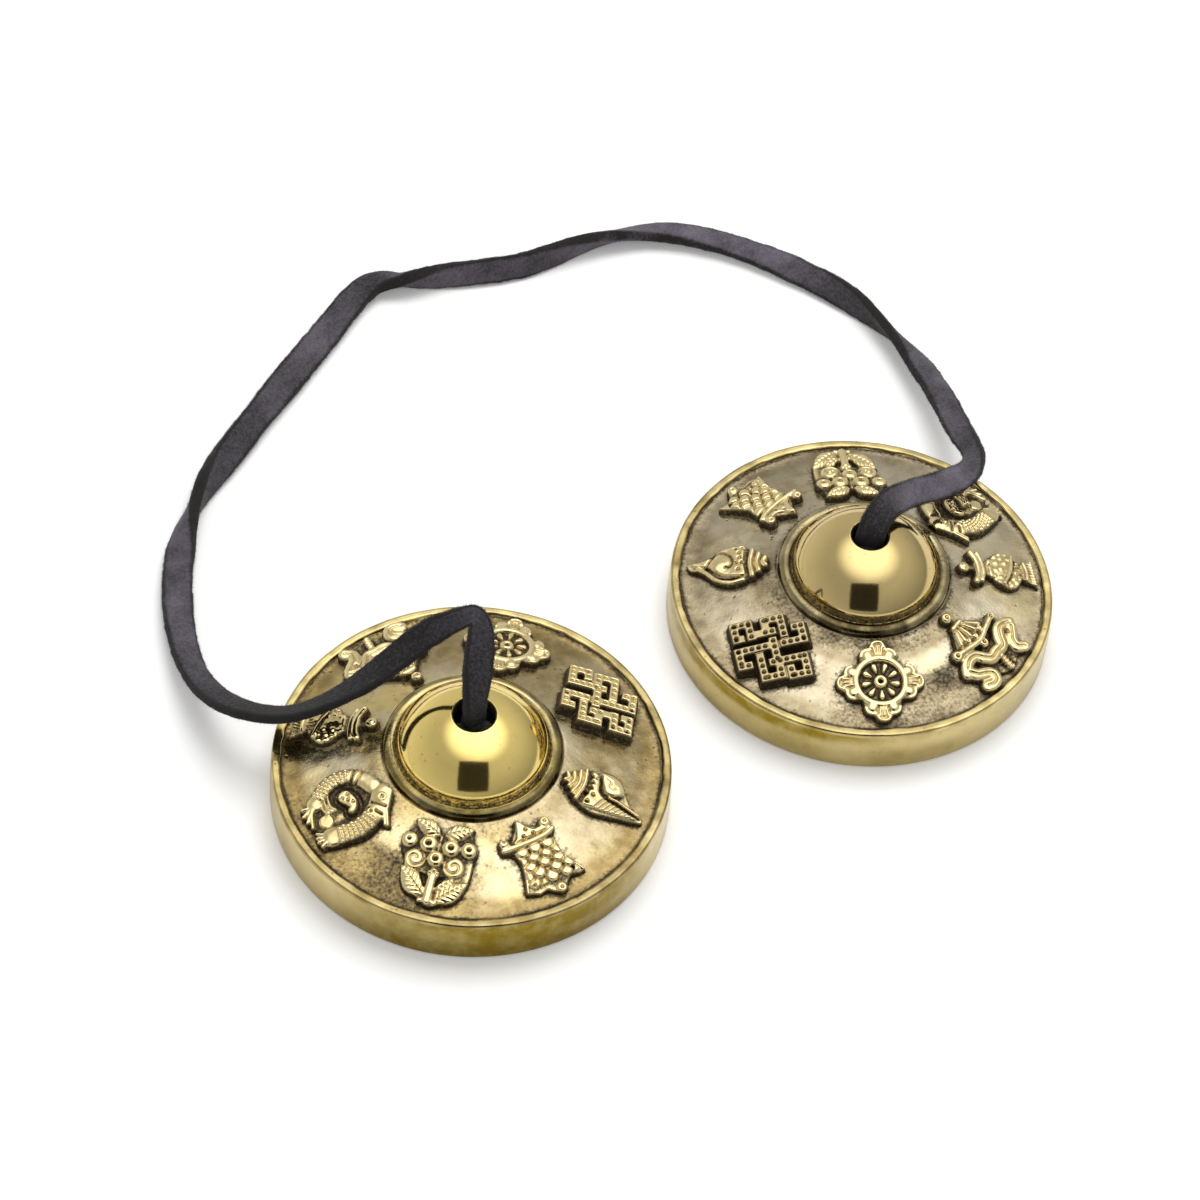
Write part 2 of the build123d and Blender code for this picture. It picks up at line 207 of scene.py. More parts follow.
def place_camera():
    """Camera with a long lens, in front and to the left, looking down."""
    data = bpy.data.cameras.new("camera")
    data.sensor_width = 36
    data.lens = CAMERA_LENS
    camera = link(bpy.data.objects.new("camera", data))
    camera.location = CAMERA_PLACE
    camera.rotation_mode = "QUATERNION"
    level = (CAMERA_TARGET - CAMERA_PLACE).to_track_quat("-Z", "Y")
    camera.rotation_quaternion = level @ Quaternion((0, 0, 1), radians(CAMERA_ROLL))
    bpy.context.scene.camera = camera


place_camera()
to_camera = np.array((CAMERA_PLACE - CAMERA_TARGET).normalized())

# Route of the strap, from the left knot to the right one: x, y, z, then how far the broad face is
# turned from the camera in degrees, how pale the suede is there, its width and its thickness as shares.
# The paleness is partly the suede's own tone and partly painted light and shade: lit and shaded at
# the folds and twists, darker where a face turns from the light.
LEFT_LEG = (
    (0.0, 0.0, STRAP_START, 40, 0.0, 0.8, 1.0),
    (0.0, 0.0, 23.6, 36, 0.1, 0.86, 1.0),
    (2.2, 3.0, 28.6, 16, 0.2, 1.15, 1.0),
    (5.1, 6.9, 32.5, 10, 0.25, 0.85, 1.0),
    (4.9, 8.2, 34.3, 0, 0.7, 0.4, 1.0),
    (4.0, 9.2, 33.9, -14, 0.45, 0.65, 1.0),
    (-1.2, 12.7, 28.9, -8, 0.1, 1.0, 1.0),
    (-5.4, 14.6, 23.2, 10, 0.1, 1.0, 1.0),
    (-11.4, 16.2, 17.8, 46, 0.05, 1.0, 0.9),
    (-17.8, 17.7, 14.5, 66, 0.0, 1.0, 0.9),
    (-23.6, 19.8, 12.7, 70, 0.0, 1.0, 1.0),
    (-28.2, 26.0, 10.2, 62, 0.05, 1.0, 1.0),
    (-29.8, 34.4, 6.4, 50, 0.25, 1.0, 1.0),
)
ARCH = (
    (-67.2, 43.6, 3.4, 38, 0.55, 1.05, 1.0),
    (-63.6, 54.4, 2.2, 22, 0.7, 1.1, 1.0),
    (-58.2, 64.8, 2.0, 5, 0.8, 1.1, 1.0),
    (-50.6, 74.2, 2.0, -84, 0.5, 1.0, 1.4),
    (-39.4, 82.2, 2.0, -165, 0.3, 1.05, 1.4),
    (-25.2, 90.7, 2.0, -180, 0.6, 1.18, 1.0),
    (-10.8, 98.9, 2.0, -180, 0.75, 1.15, 1.0),
    (0.0, 105.4, 2.2, -185, 0.4, 1.1, 1.0),
    (4.8, 106.2, 2.4, -228, 0.15, 1.0, 1.3),
    (9.2, 103.6, 2.2, -276, 0.8, 1.0, 1.5),
    (18.8, 100.4, 2.0, -338, 0.75, 1.0, 1.0),
    (25.3, 98.2, 2.0, -350, 0.45, 1.0, 1.0),
    (31.8, 96.2, 2.0, -325, 0.45, 1.0, 1.0),
    (44.8, 96.3, 2.0, -280, 0.95, 1.0, 1.3),
    (56.3, 93.1, 2.0, -236, 1.3, 1.0, 1.2),
    (65.1, 85.1, 2.0, -212, 1.3, 1.0, 1.0),
    (72.2, 74.6, 2.0, -192, 0.95, 1.0, 1.0),
    (77.6, 63.0, 2.0, -162, 0.35, 1.1, 1.0),
    (79.9, 50.4, 2.6, -92, 0.25, 1.0, 1.1),
    (78.7, 38.6, 4.2, -34, 0.75, 1.0, 1.0),
    (75.7, 27.6, 6.6, -14, 0.7, 1.0, 1.0),
)
RIGHT_LEG = (
    (34.2, 19.8, 9.2, 4, 0.55, 0.95, 1.0),
    (32.3, 13.8, 11.6, 34, 0.25, 0.85, 1.0),
    (30.2, 10.4, 13.0, 42, 0.45, 0.8, 1.0),
    (27.0, 7.9, 14.2, 26, 0.9, 0.9, 1.0),
    (23.4, 6.6, 15.6, 8, 1.1, 1.0, 1.0),
    (17.4, 5.3, 18.4, 0, 1.15, 1.0, 1.0),
    (8.8, 3.8, 22.2, 0, 0.8, 1.05, 1.0),
    (3.8, 1.7, 24.6, 0, 0.35, 1.05, 1.0),
    (0.3, 0.1, 23.0, 0, 0.05, 1.0, 1.0),
    (0.0, 0.0, STRAP_START, 0, 0.0, 1.0, 1.0),
)


def strap_route():
    """All stations of the strap in one list, in the frame."""
    left = [(x + LEFT[0], y + LEFT[1], *rest) for x, y, *rest in LEFT_LEG]
    right = [(x + RIGHT[0], y + RIGHT[1], *rest) for x, y, *rest in RIGHT_LEG]
    return np.array([*left, *ARCH, *right], float)


def spline_points(points):
    """Close points along a smooth spline that has the given points as its control points."""
    curve = bpy.data.curves.new("route", "CURVE")
    curve.dimensions = "3D"
    curve.resolution_u = 24
    spline = curve.splines.new("NURBS")
    spline.points.add(len(points) - 1)
    for control, point in zip(spline.points, points):
        control.co = (*point, 1)
    spline.order_u = 3
    spline.use_endpoint_u = True
    thing = link(bpy.data.objects.new("route", curve))
    mesh = evaluated_mesh(thing)
    line = np.array([vertex.co for vertex in mesh.vertices])
    bpy.data.objects.remove(thing)
    bpy.data.curves.remove(curve)
    bpy.data.meshes.remove(mesh)
    return line


def lengths_along(line):
    """Length from the start to each point of a line."""
    steps = np.linalg.norm(np.diff(line, axis=0), axis=1)
    return np.concatenate([[0], np.cumsum(steps)])


def even_points(line, step):
    """The same line with its points evenly spaced."""
    along = lengths_along(line)
    places = np.linspace(0, along[-1], int(along[-1] / step) + 1)
    return np.stack([np.interp(places, along, line[:, axis]) for axis in range(3)], 1)


def unit(vectors):
    """Vectors brought to length one."""
    return vectors / np.linalg.norm(vectors, axis=-1, keepdims=True)


def turned_about(vectors, axes, angles):
    """Vectors turned about axes by angles in radians."""
    c, s = np.cos(angles)[:, None], np.sin(angles)[:, None]
    lift = np.sum(vectors * axes, axis=1, keepdims=True)
    return vectors * c + np.cross(axes, vectors) * s + axes * lift * (1 - c)


def strap_mesh(materials):
    """Flat suede strap along its route, twisting as it lies, and the line it follows."""
    route = strap_route()
    line = even_points(spline_points(route[:, :3]), STRAP_STEP)
    along = lengths_along(line)
    nearest = [np.argmin(np.linalg.norm(line - station, axis=1)) for station in route[:, :3]]
    stations = np.maximum.accumulate(along[nearest])
    shifts = np.linspace(-6, 6, 41)
    weights = np.exp(-0.5 * (shifts / 2) ** 2)
    weights /= weights.sum()

    def carried(places, values):
        """Values at some places of the strap, carried smoothly along it."""
        layers = [np.interp(along + shift, places, values) for shift in shifts]
        return sum(weight * layer for weight, layer in zip(weights, layers))

    turn, tone_and_shade, broad, stout = [carried(stations, route[:, column]) for column in range(3, 7)]
    tangent = unit(np.gradient(line, axis=0))
    facing = np.tile(to_camera, (len(line), 1))
    facing = unit(facing - tangent * np.sum(facing * tangent, axis=1, keepdims=True))
    normal = turned_about(facing, tangent, np.radians(turn))
    side = np.cross(tangent, normal)

    angle = np.linspace(0, 2 * pi, STRAP_AROUND, endpoint=False)
    flat = np.sign(np.cos(angle)) * np.abs(np.cos(angle)) ** STRAP_CORNER
    thick = np.sign(np.sin(angle)) * np.abs(np.sin(angle)) ** STRAP_CORNER
    span = along[:, None] + 0 * angle

    def wavering(size, seed):
        """Unevenness along the strap, the same all round it."""
        return rough(span, 0 * span, size, seed)

    swelling = 1 + 0.05 * wavering(9.0, 3) + 0.03 * wavering(1.6, 4)
    half_width = broad[:, None] * STRAP_WIDTH / 2 * swelling
    half_thick = stout[:, None] * STRAP_THICKNESS / 2 * (0.95 + 0.1 * wavering(11.0, 5))
    ragged = 1 + 0.035 * rough(span, angle * 3 + 0 * span, 0.9, 6)
    cupped = 0.16 * (flat**2 - 0.4) * wavering(24.0, 7)
    sideways = (half_width * flat * ragged)[..., None] * side[:, None, :]
    outwards = (half_thick * thick + cupped)[..., None] * normal[:, None, :]
    points = line[:, None, :] + sideways + outwards
    sunk = FLOOR_GAP - np.minimum(points[..., 2].min(axis=1), FLOOR_GAP)
    rise = np.maximum(carried(along, sunk), sunk)[:, None]
    points[..., 2] += rise
    line = line + rise * (0, 0, 1)

    faces = rings_to_quads(len(line), STRAP_AROUND, False)[:, ::-1].tolist()
    faces += end_faces(len(line), STRAP_AROUND)
    edge = np.clip((np.abs(flat) - 0.75) / 0.25, 0, 1) + 0 * span
    # Tone of the suede, with painted light and shade along the strap.
    tones_and_shades = np.clip(tone_and_shade[:, None] + 0 * span, 0, 1)
    attributes = {"edge": edge.ravel(), "tone_and_shade": tones_and_shades.ravel()}
    strap = make_mesh("strap", points.reshape(-1, 3), faces, materials, None, attributes)
    return strap, line


# Nodes of the materials

def add(tree, kind, inputs=(), **settings):
    """New node, its inputs set to values or joined to sockets."""
    node = tree.nodes.new(kind)
    for label, value in settings.items():
        setattr(node, label, value)
    for key, value in dict(inputs).items():
        if isinstance(value, bpy.types.NodeSocket):
            tree.links.new(value, node.inputs[key])
        else:
            node.inputs[key].default_value = value
    return node


def noise(tree, coords, size, detail=2.0, roughness=0.5):
    """Noise with patches about as large as the size, in millimetres."""
    inputs = {"Vector": coords, "Scale": 1 / (size * MM), "Detail": detail, "Roughness": roughness}
    return add(tree, "ShaderNodeTexNoise", inputs).outputs["Fac"]


def fit(tree, value, low, high, first=0.0, last=1.0):
    """Value brought from one span to another and kept inside it."""
    inputs = {"Value": value, "From Min": low, "From Max": high, "To Min": first, "To Max": last}
    return add(tree, "ShaderNodeMapRange", inputs).outputs["Result"]


def calc(tree, operation, first, second=0.0):
    """One step of arithmetic."""
    return add(tree, "ShaderNodeMath", {0: first, 1: second}, operation=operation).outputs[0]


def mix(tree, factor, first, second):
    """Mixture of two colours."""
    inputs = {0: factor, 6: first, 7: second}
    return add(tree, "ShaderNodeMix", inputs, data_type="RGBA").outputs[2]


def mix_values(tree, factor, first, second):
    """Mixture of two values."""
    inputs = {0: factor, 2: first, 3: second}
    return add(tree, "ShaderNodeMix", inputs, data_type="FLOAT").outputs[0]


def measure(tree, operation, first, second):
    """Distance of two places, or how far one direction goes along another."""
    inputs = {0: first, 1: second}
    return add(tree, "ShaderNodeVectorMath", inputs, operation=operation).outputs["Value"]


def bumped(tree, height, strength, depth):
    """Normal of a surface with small heights, their depth in millimetres."""
    inputs = {"Height": height, "Strength": strength, "Distance": depth * MM}
    return add(tree, "ShaderNodeBump", inputs).outputs["Normal"]


def object_coords(tree):
    """Place on the object, in metres."""
    return add(tree, "ShaderNodeTexCoord").outputs["Object"]


def attribute(tree, label):
    """Value kept on the points of the mesh."""
    return add(tree, "ShaderNodeAttribute", attribute_name=label).outputs["Fac"]


# Colours of old brass; the darkest and the brightest also serve for painted shade and painted
# highlights
MOTTLED = (0.30, 0.235, 0.14, 1)
STAINED = (0.17, 0.115, 0.05, 1)
PITTED = (0.07, 0.05, 0.022, 1)
DIRT_AND_SHADE = (0.045, 0.031, 0.014, 1)
RUBBED_AND_HIGHLIGHT = (0.92, 0.77, 0.42, 1)


def aged_brass():
    """Group: cast brass with dark patina in its hollows, worn bright on its heights, and painted shade,
    dark reflections and highlights where the mesh asks for them.
    """
    tree = bpy.data.node_groups.new("aged_brass", "ShaderNodeTree")
    face = tree.interface
    for label in ("Metal", "Gold", "Tarnish"):
        face.new_socket(label, in_out="INPUT", socket_type="NodeSocketColor")
    for label in ("Patina_and_shade", "Wear_and_highlight", "Tarnish_and_shade", "Gilding", "Grain", "Polish", "Pits"):
        face.new_socket(label, in_out="INPUT", socket_type="NodeSocketFloat")
    face.new_socket("Colour", in_out="OUTPUT", socket_type="NodeSocketColor")
    for label in ("Roughness", "Metallic", "Height"):
        face.new_socket(label, in_out="OUTPUT", socket_type="NodeSocketFloat")
    given = add(tree, "NodeGroupInput").outputs
    out = add(tree, "NodeGroupOutput")
    coords = object_coords(tree)
    patches = noise(tree, coords, 9.0, 3.0)
    clouds = noise(tree, coords, 2.6, 3.0, 0.6)
    specks = noise(tree, coords, 0.55, 2.0, 0.6)
    grains = noise(tree, coords, 0.22, 1.0)

    gilded = calc(tree, "MULTIPLY", fit(tree, patches, 0.36, 0.62), given["Gilding"])
    colour = mix(tree, gilded, given["Metal"], given["Gold"])
    # Tarnish, and painted shade and dark reflections, where the mesh asks for them.
    tarnished_and_shaded = calc(tree, "MULTIPLY", given["Tarnish_and_shade"], fit(tree, clouds, 0.3, 0.62, 0.7, 1.05))
    colour = mix(tree, tarnished_and_shaded, colour, given["Tarnish"])
    mottle = calc(tree, "MULTIPLY", fit(tree, clouds, 0.46, 0.74), given["Grain"])
    colour = mix(tree, calc(tree, "MULTIPLY", mottle, 0.5), colour, MOTTLED)
    stains = fit(tree, noise(tree, coords, 4.4, 5.0, 0.68), 0.55, 0.66)
    stains = calc(tree, "MULTIPLY", stains, calc(tree, "MULTIPLY", given["Grain"], 0.6))
    colour = mix(tree, stains, colour, STAINED)
    cells = add(tree, "ShaderNodeTexVoronoi", {"Vector": coords, "Scale": 640.0})
    spots = fit(tree, cells.outputs["Distance"], 0.10, 0.22, 1.0, 0.0)
    sparse = fit(tree, noise(tree, coords, 3.0, 2.0), 0.52, 0.6)
    pits = calc(tree, "MULTIPLY", spots, sparse)
    colour = mix(tree, calc(tree, "MULTIPLY", pits, given["Pits"]), colour, PITTED)
    # Dark patina, and painted shade and dark reflection, where the mesh asks for them.
    dirt_and_shade = calc(tree, "ADD", given["Patina_and_shade"], fit(tree, specks, 0.35, 0.75, -0.25, 0.25))
    dirt_and_shade = calc(tree, "MULTIPLY", fit(tree, dirt_and_shade, 0.18, 0.85), fit(tree, given["Patina_and_shade"], 0.0, 0.12))
    colour = mix(tree, dirt_and_shade, colour, DIRT_AND_SHADE)
    # Bright wear, and a painted highlight where the mesh asks for one.
    bright = calc(tree, "MULTIPLY", given["Wear_and_highlight"], fit(tree, specks, 0.25, 0.6, 0.55, 1.0))
    colour = mix(tree, bright, colour, RUBBED_AND_HIGHLIGHT)
    tree.links.new(colour, out.inputs["Colour"])

    grainy = calc(tree, "MULTIPLY", fit(tree, specks, 0.3, 0.7, -0.07, 0.11), given["Grain"])
    finish = calc(tree, "ADD", given["Polish"], grainy)
    finish = calc(tree, "ADD", finish, calc(tree, "MULTIPLY", dirt_and_shade, 0.28))
    finish = calc(tree, "SUBTRACT", finish, calc(tree, "MULTIPLY", bright, 0.1))
    tree.links.new(fit(tree, finish, 0.05, 0.9, 0.05, 0.9), out.inputs["Roughness"])
    tree.links.new(fit(tree, dirt_and_shade, 0.0, 1.0, 1.0, 0.55), out.inputs["Metallic"])

    height = calc(tree, "MULTIPLY", grains, 0.35)
    height = calc(tree, "ADD", height, calc(tree, "MULTIPLY", clouds, 1.1))
    height = calc(tree, "ADD", height, calc(tree, "MULTIPLY", specks, 0.5))
    height = calc(tree, "SUBTRACT", height, calc(tree, "MULTIPLY", pits, 0.9))
    tree.links.new(calc(tree, "MULTIPLY", height, given["Grain"]), out.inputs["Height"])
    return tree


def brass(name, group, metal, gold, tarnish_and_shade_colour, gilding, grain, polish, depth, pits):
    """Brass that takes its patina and wear from the mesh, with the painted shade and painted highlights
    they carry.
    """
    material = bpy.data.materials.new(name)
    material.use_nodes = True
    tree = material.node_tree
    shader = tree.nodes["Principled BSDF"]
    aged = add(tree, "ShaderNodeGroup", node_tree=group)
    settings = {"Metal": (*metal, 1), "Gold": (*gold, 1), "Tarnish": (*tarnish_and_shade_colour, 1)}
    settings.update({"Grain": grain, "Polish": polish, "Pits": pits})
    for label, value in settings.items():
        aged.inputs[label].default_value = value
    for label in ("Patina_and_shade", "Wear_and_highlight", "Tarnish_and_shade"):
        tree.links.new(attribute(tree, label.lower()), aged.inputs[label])
    tree.links.new(calc(tree, "MULTIPLY", attribute(tree, "gold"), gilding), aged.inputs["Gilding"])
    tree.links.new(aged.outputs["Colour"], shader.inputs["Base Color"])
    tree.links.new(aged.outputs["Roughness"], shader.inputs["Roughness"])
    tree.links.new(aged.outputs["Metallic"], shader.inputs["Metallic"])
    tree.links.new(bumped(tree, aged.outputs["Height"], 1.0, depth), shader.inputs["Normal"])
    return material


BLACK_SUEDE = (0.024, 0.023, 0.022, 1)
SLATE_SUEDE = (0.178, 0.157, 0.194, 1)


def suede(name, lift):
    """Napped leather, from near black to slate grey as the tone of the mesh says, which holds painted
    light and shade along the strap as well as the suede's own tone; darker along its edges.
    """
    material = bpy.data.materials.new(name)
    material.use_nodes = True
    tree = material.node_tree
    shader = tree.nodes["Principled BSDF"]
    coords = object_coords(tree)
    clouds = fit(tree, noise(tree, coords, 5.5, 3.0, 0.6), 0.34, 0.68)
    fine = fit(tree, noise(tree, coords, 0.5, 3.0, 0.7), 0.3, 0.72)
    # The tone from the mesh is partly the suede's own and partly painted light and shade.
    tone_and_shade = calc(tree, "MULTIPLY", attribute(tree, "tone_and_shade"), fit(tree, clouds, 0.0, 1.0, 0.45, 1.15))
    grainy = calc(tree, "MULTIPLY", calc(tree, "SUBTRACT", fine, 0.5), 0.5)
    tone_and_shade = calc(tree, "ADD", tone_and_shade, grainy)
    tone_and_shade = calc(tree, "SUBTRACT", tone_and_shade, calc(tree, "MULTIPLY", attribute(tree, "edge"), 0.75))
    tone_and_shade = fit(tree, calc(tree, "ADD", tone_and_shade, lift), 0.0, 1.2)
    colour = mix(tree, tone_and_shade, BLACK_SUEDE, SLATE_SUEDE)
    tree.links.new(colour, shader.inputs["Base Color"])
    shader.inputs["Roughness"].default_value = 0.95
    shader.inputs["Specular IOR Level"].default_value = 0.15
    shader.inputs["Sheen Weight"].default_value = 0.12
    shader.inputs["Sheen Roughness"].default_value = 0.5
    tree.links.new(bumped(tree, fine, 0.6, 0.12), shader.inputs["Normal"])
    return material


# Relief of the emblems: v points to the dome, u to the right with the dome above

def bend(points, closed=False):
    """Smooth line through points."""
    p = np.array(points, float)
    if closed:
        p = np.vstack([p[-1], p, p[0], p[1]])
    else:
        p = np.vstack([2 * p[0] - p[1], p, 2 * p[-1] - p[-2]])
    t = np.linspace(0, 1, 7)[:-1, None]
    spans = []
    for a, b, c, d in zip(p, p[1:], p[2:], p[3:]):
        square, cube = 2 * a - 5 * b + 4 * c - d, 3 * b - a - 3 * c + d
        spans.append(b + (c - a) * t / 2 + square * t**2 / 2 + cube * t**3 / 2)
    return np.vstack(spans if closed else [*spans, p[-2:-1]])


def turned(points, angle):
    """Points turned about the middle of the emblem."""
    c, s = cos(radians(angle)), sin(radians(angle))
    return np.array(points, float) @ np.array([[c, s], [-s, c]])


def arc(centre, radius, start, end):
    """Points of an arc, with its angles in degrees."""
    angles = np.radians(np.linspace(start, end, 14))
    return np.stack([centre[0] + radius * np.cos(angles), centre[1] + radius * np.sin(angles)], 1)


class Relief:
    """Height of one emblem above the field, over a small patch."""

    def __init__(self, left, right, low, high):
        columns = np.arange(left, right + GRAIN / 2, GRAIN)
        rows = np.arange(low, high + GRAIN / 2, GRAIN)
        self.u, self.v = np.meshgrid(columns, rows)
        self.height = np.zeros_like(self.u)

    def spot(self, u, v):
        """Distance from a point."""
        return np.hypot(self.u - u, self.v - v)

    def path(self, points):
        """Distance from a line."""
        points = np.array(points, float)
        best = np.full_like(self.u, 99.0)
        for (au, av), (bu, bv) in zip(points, points[1:]):
            du, dv = bu - au, bv - av
            t = ((self.u - au) * du + (self.v - av) * dv) / max(du * du + dv * dv, 1e-9)
            t = np.clip(t, 0, 1)
            best = np.minimum(best, np.hypot(self.u - au - t * du, self.v - av - t * dv))
        return best

    def taper(self, start, end, first, last):
        """Distance from a tapering bar, as a share of its half width."""
        du, dv = end[0] - start[0], end[1] - start[1]
        t = ((self.u - start[0]) * du + (self.v - start[1]) * dv) / (du * du + dv * dv)
        t = np.clip(t, 0, 1)
        away = np.hypot(self.u - start[0] - t * du, self.v - start[1] - t * dv)
        return away / (first + (last - first) * t)

    def area(self, points):
        """Distance from an outline, less than nought inside it."""
        points = np.array(points, float)
        inside = np.zeros(self.u.shape, bool)
        for (au, av), (bu, bv) in zip(points, np.roll(points, -1, 0)):
            crosses = (av > self.v) != (bv > self.v)
            rise = np.where(abs(bv - av) < 1e-9, 1e-9, bv - av)
            inside ^= crosses & (self.u < (bu - au) * (self.v - av) / rise + au)
        away = self.path(np.vstack([points, points[:1]]))
        return np.where(inside, -away, away)

    def plate(self, distance, top, edge=0.3):
        """Raised plate with a rounded edge."""
        self.height = np.maximum(self.height, top * ease(-distance / edge))

    def ridge(self, distance, reach, base, rise):
        """Rounded ridge or boss on a base."""
        bulge = base + rise * np.sqrt(np.clip(1 - (distance / reach) ** 2, 0, 1))
        self.height = np.where(distance < reach, np.maximum(self.height, bulge), self.height)

    def stud(self, distance, reach, rise):
        """Small round bump on whatever is there."""
        self.height = self.height + rise * np.sqrt(np.clip(1 - (distance / reach) ** 2, 0, 1))

    def slab(self, share, top, edge=0.4):
        """Flat bar, from a distance given as a share of its half width."""
        self.height = np.maximum(self.height, top * ease((1 - share) / edge))

    def groove(self, distance, reach, depth):
        """Cut along a line, or a drilled pit."""
        self.height = self.height - depth * ease(1.3 * (1 - distance / reach))

    def floor(self, distance, level):
        """Sunk ground inside an outline."""
        low = np.minimum(self.height, level)
        share = ease(-distance / 0.2)
        self.height = self.height * (1 - share) + low * share

    def sheet(self, points, top, edge=0.3):
        """Raised plate inside an outline."""
        self.plate(self.area(points), top, edge)

    def roll(self, points, reach, base, rise):
        """Rounded ridge along a line."""
        self.ridge(self.path(points), reach, base, rise)

    def boss(self, u, v, reach, base, rise):
        """Round boss on a base."""
        self.ridge(self.spot(u, v), reach, base, rise)

    def cut(self, points, reach, depth):
        """Groove along a line."""
        self.groove(self.path(points), reach, depth)

    def pit(self, u, v, reach, depth):
        """Drilled pit."""
        self.groove(self.spot(u, v), reach, depth)

    def leaf(self, start, end, width, base, rise, veins):
        """Pointed leaf with a mid rib and slanting veins."""
        start, end = np.array(start, float), np.array(end, float)
        run = end - start
        across = np.array((-run[1], run[0])) / np.linalg.norm(run)
        t = np.linspace(0, 1, 9)[:, None]
        bulge = across * width / 2 * np.sin(pi * t**0.8)
        blade = np.vstack([start + run * t + bulge, (start + run * t - bulge)[::-1]])
        distance = self.area(blade)
        self.ridge(np.maximum(distance + width / 2, 0), width / 2, base, rise)
        self.cut([start, end - run * 0.06], 0.14, 0.22)
        for place in np.linspace(0.12, 0.8, veins):
            root = start + run * place
            for way in (-1, 1):
                tip = root + run / np.linalg.norm(run) * width * 0.34 + way * across * width * 0.42
                vein = np.where(distance < -0.08, self.path([root, tip]), 9.0)
                self.groove(vein, 0.13, 0.2)


def wheel():
    """Wheel of nine petals in a diamond of four palmettes."""
    r = Relief(-8.4, 8.4, -7.9, 7.6)
    lobe = ((-3.5, 3.0), (-3.1, 5.0), (-2.0, 5.8), (-1.3, 6.9), (0, 7.4))
    lobe = lobe + tuple((-u, v) for u, v in lobe[-2::-1])
    r.plate(r.spot(0, 0) - 4.9, 0.75)
    for quarter in (0, 90, 180, 270):
        r.sheet(turned(bend(lobe), quarter), 0.75)
        tip = bend(((-1.1, 6.1), (-0.75, 6.8), (0, 7.05), (0.75, 6.8), (1.1, 6.1)))
        r.roll(turned(tip, quarter), 0.36, 0.7, 0.45)
        for u in (-0.62, 0, 0.62):
            r.roll(turned(((0.75 * u, 4.6), (1.1 * u, 6.1)), quarter), 0.27, 0.75, 0.42)
        for way in (-1, 1):
            curl = ((way * 1.2, 5.6), (way * 1.9, 5.75), (way * 2.7, 5.3), (way * 2.95, 4.5))
            r.roll(turned(bend(curl), quarter), 0.3, 0.7, 0.35)
            boss = turned(((way * 1.75, 4.6),), quarter)[0]
            r.boss(*boss, 0.95, 0.75, 0.55)
    r.floor(r.spot(0, 0) - 3.7, 0.4)
    r.ridge(np.abs(r.spot(0, 0) - 4.1), 0.6, 0.85, 0.45)
    for number in range(9):
        petal = turned(((1.75, 0), (2.75, 0)), 70 + 40 * number)
        r.slab(r.taper(petal[0], petal[1], 0.3, 0.68), 1.15)
    r.ridge(np.abs(r.spot(0, 0) - 0.72), 0.5, 0.65, 0.5)
    r.pit(0, 0, 0.45, 0.7)
    return r


def endless_knot():
    """Interlaced square bands with drilled dots, standing on one corner."""
    r = Relief(-8.8, 8.8, -7.9, 7.7)
    width, top = 1.9, 1.7
    bands = (
        ((-2.7, 4.2), (-2.7, 5.2), (-0.2, 5.2), (-0.2, 1.9)),
        ((-1.9, 2.2), (-5.0, 2.2), (-5.0, -0.5), (-4.2, -0.5)),
        ((2.8, -0.6), (2.8, 4.6), (5.9, 4.6), (5.9, 2.0), (4.6, 2.0)),
        ((-1.0, 0.2), (2.8, 0.2)),
        ((-2.8, 0.4), (-2.8, -1.6)),
        ((4.4, 0.3), (5.4, 0.3), (5.4, -2.5), (1.4, -2.5)),
        ((-0.3, -1.3), (-0.3, -5.8), (2.5, -5.8), (2.5, -4.6)),
        ((-2.6, -3.1), (-5.2, -3.1), (-5.2, -5.6), (-2.6, -5.6), (-2.6, -4.9)),
    )
    stand = 36
    c, s = cos(radians(stand)), sin(radians(stand))
    p, q = c * r.u - s * r.v, s * r.u + c * r.v
    for points in bands:
        for start, end in zip(points, points[1:]):
            across = np.abs(p - (start[0] + end[0]) / 2) - abs(end[0] - start[0]) / 2 - width / 2
            along = np.abs(q - (start[1] + end[1]) / 2) - abs(end[1] - start[1]) / 2 - width / 2
            r.plate(np.maximum(across, along) - 0.4, 0.3, 0.4)
            r.plate(np.maximum(across, along), top, 0.2)
    for points in bands:
        for start, end in zip(points, points[1:]):
            run = hypot(end[0] - start[0], end[1] - start[1])
            for share in np.arange(0.0, run + 0.1, 1.12) / run:
                across = start[0] + (end[0] - start[0]) * share
                along = start[1] + (end[1] - start[1]) * share
                r.pit(*turned(((across, along),), -stand)[0], 0.36, 0.7)
    return r


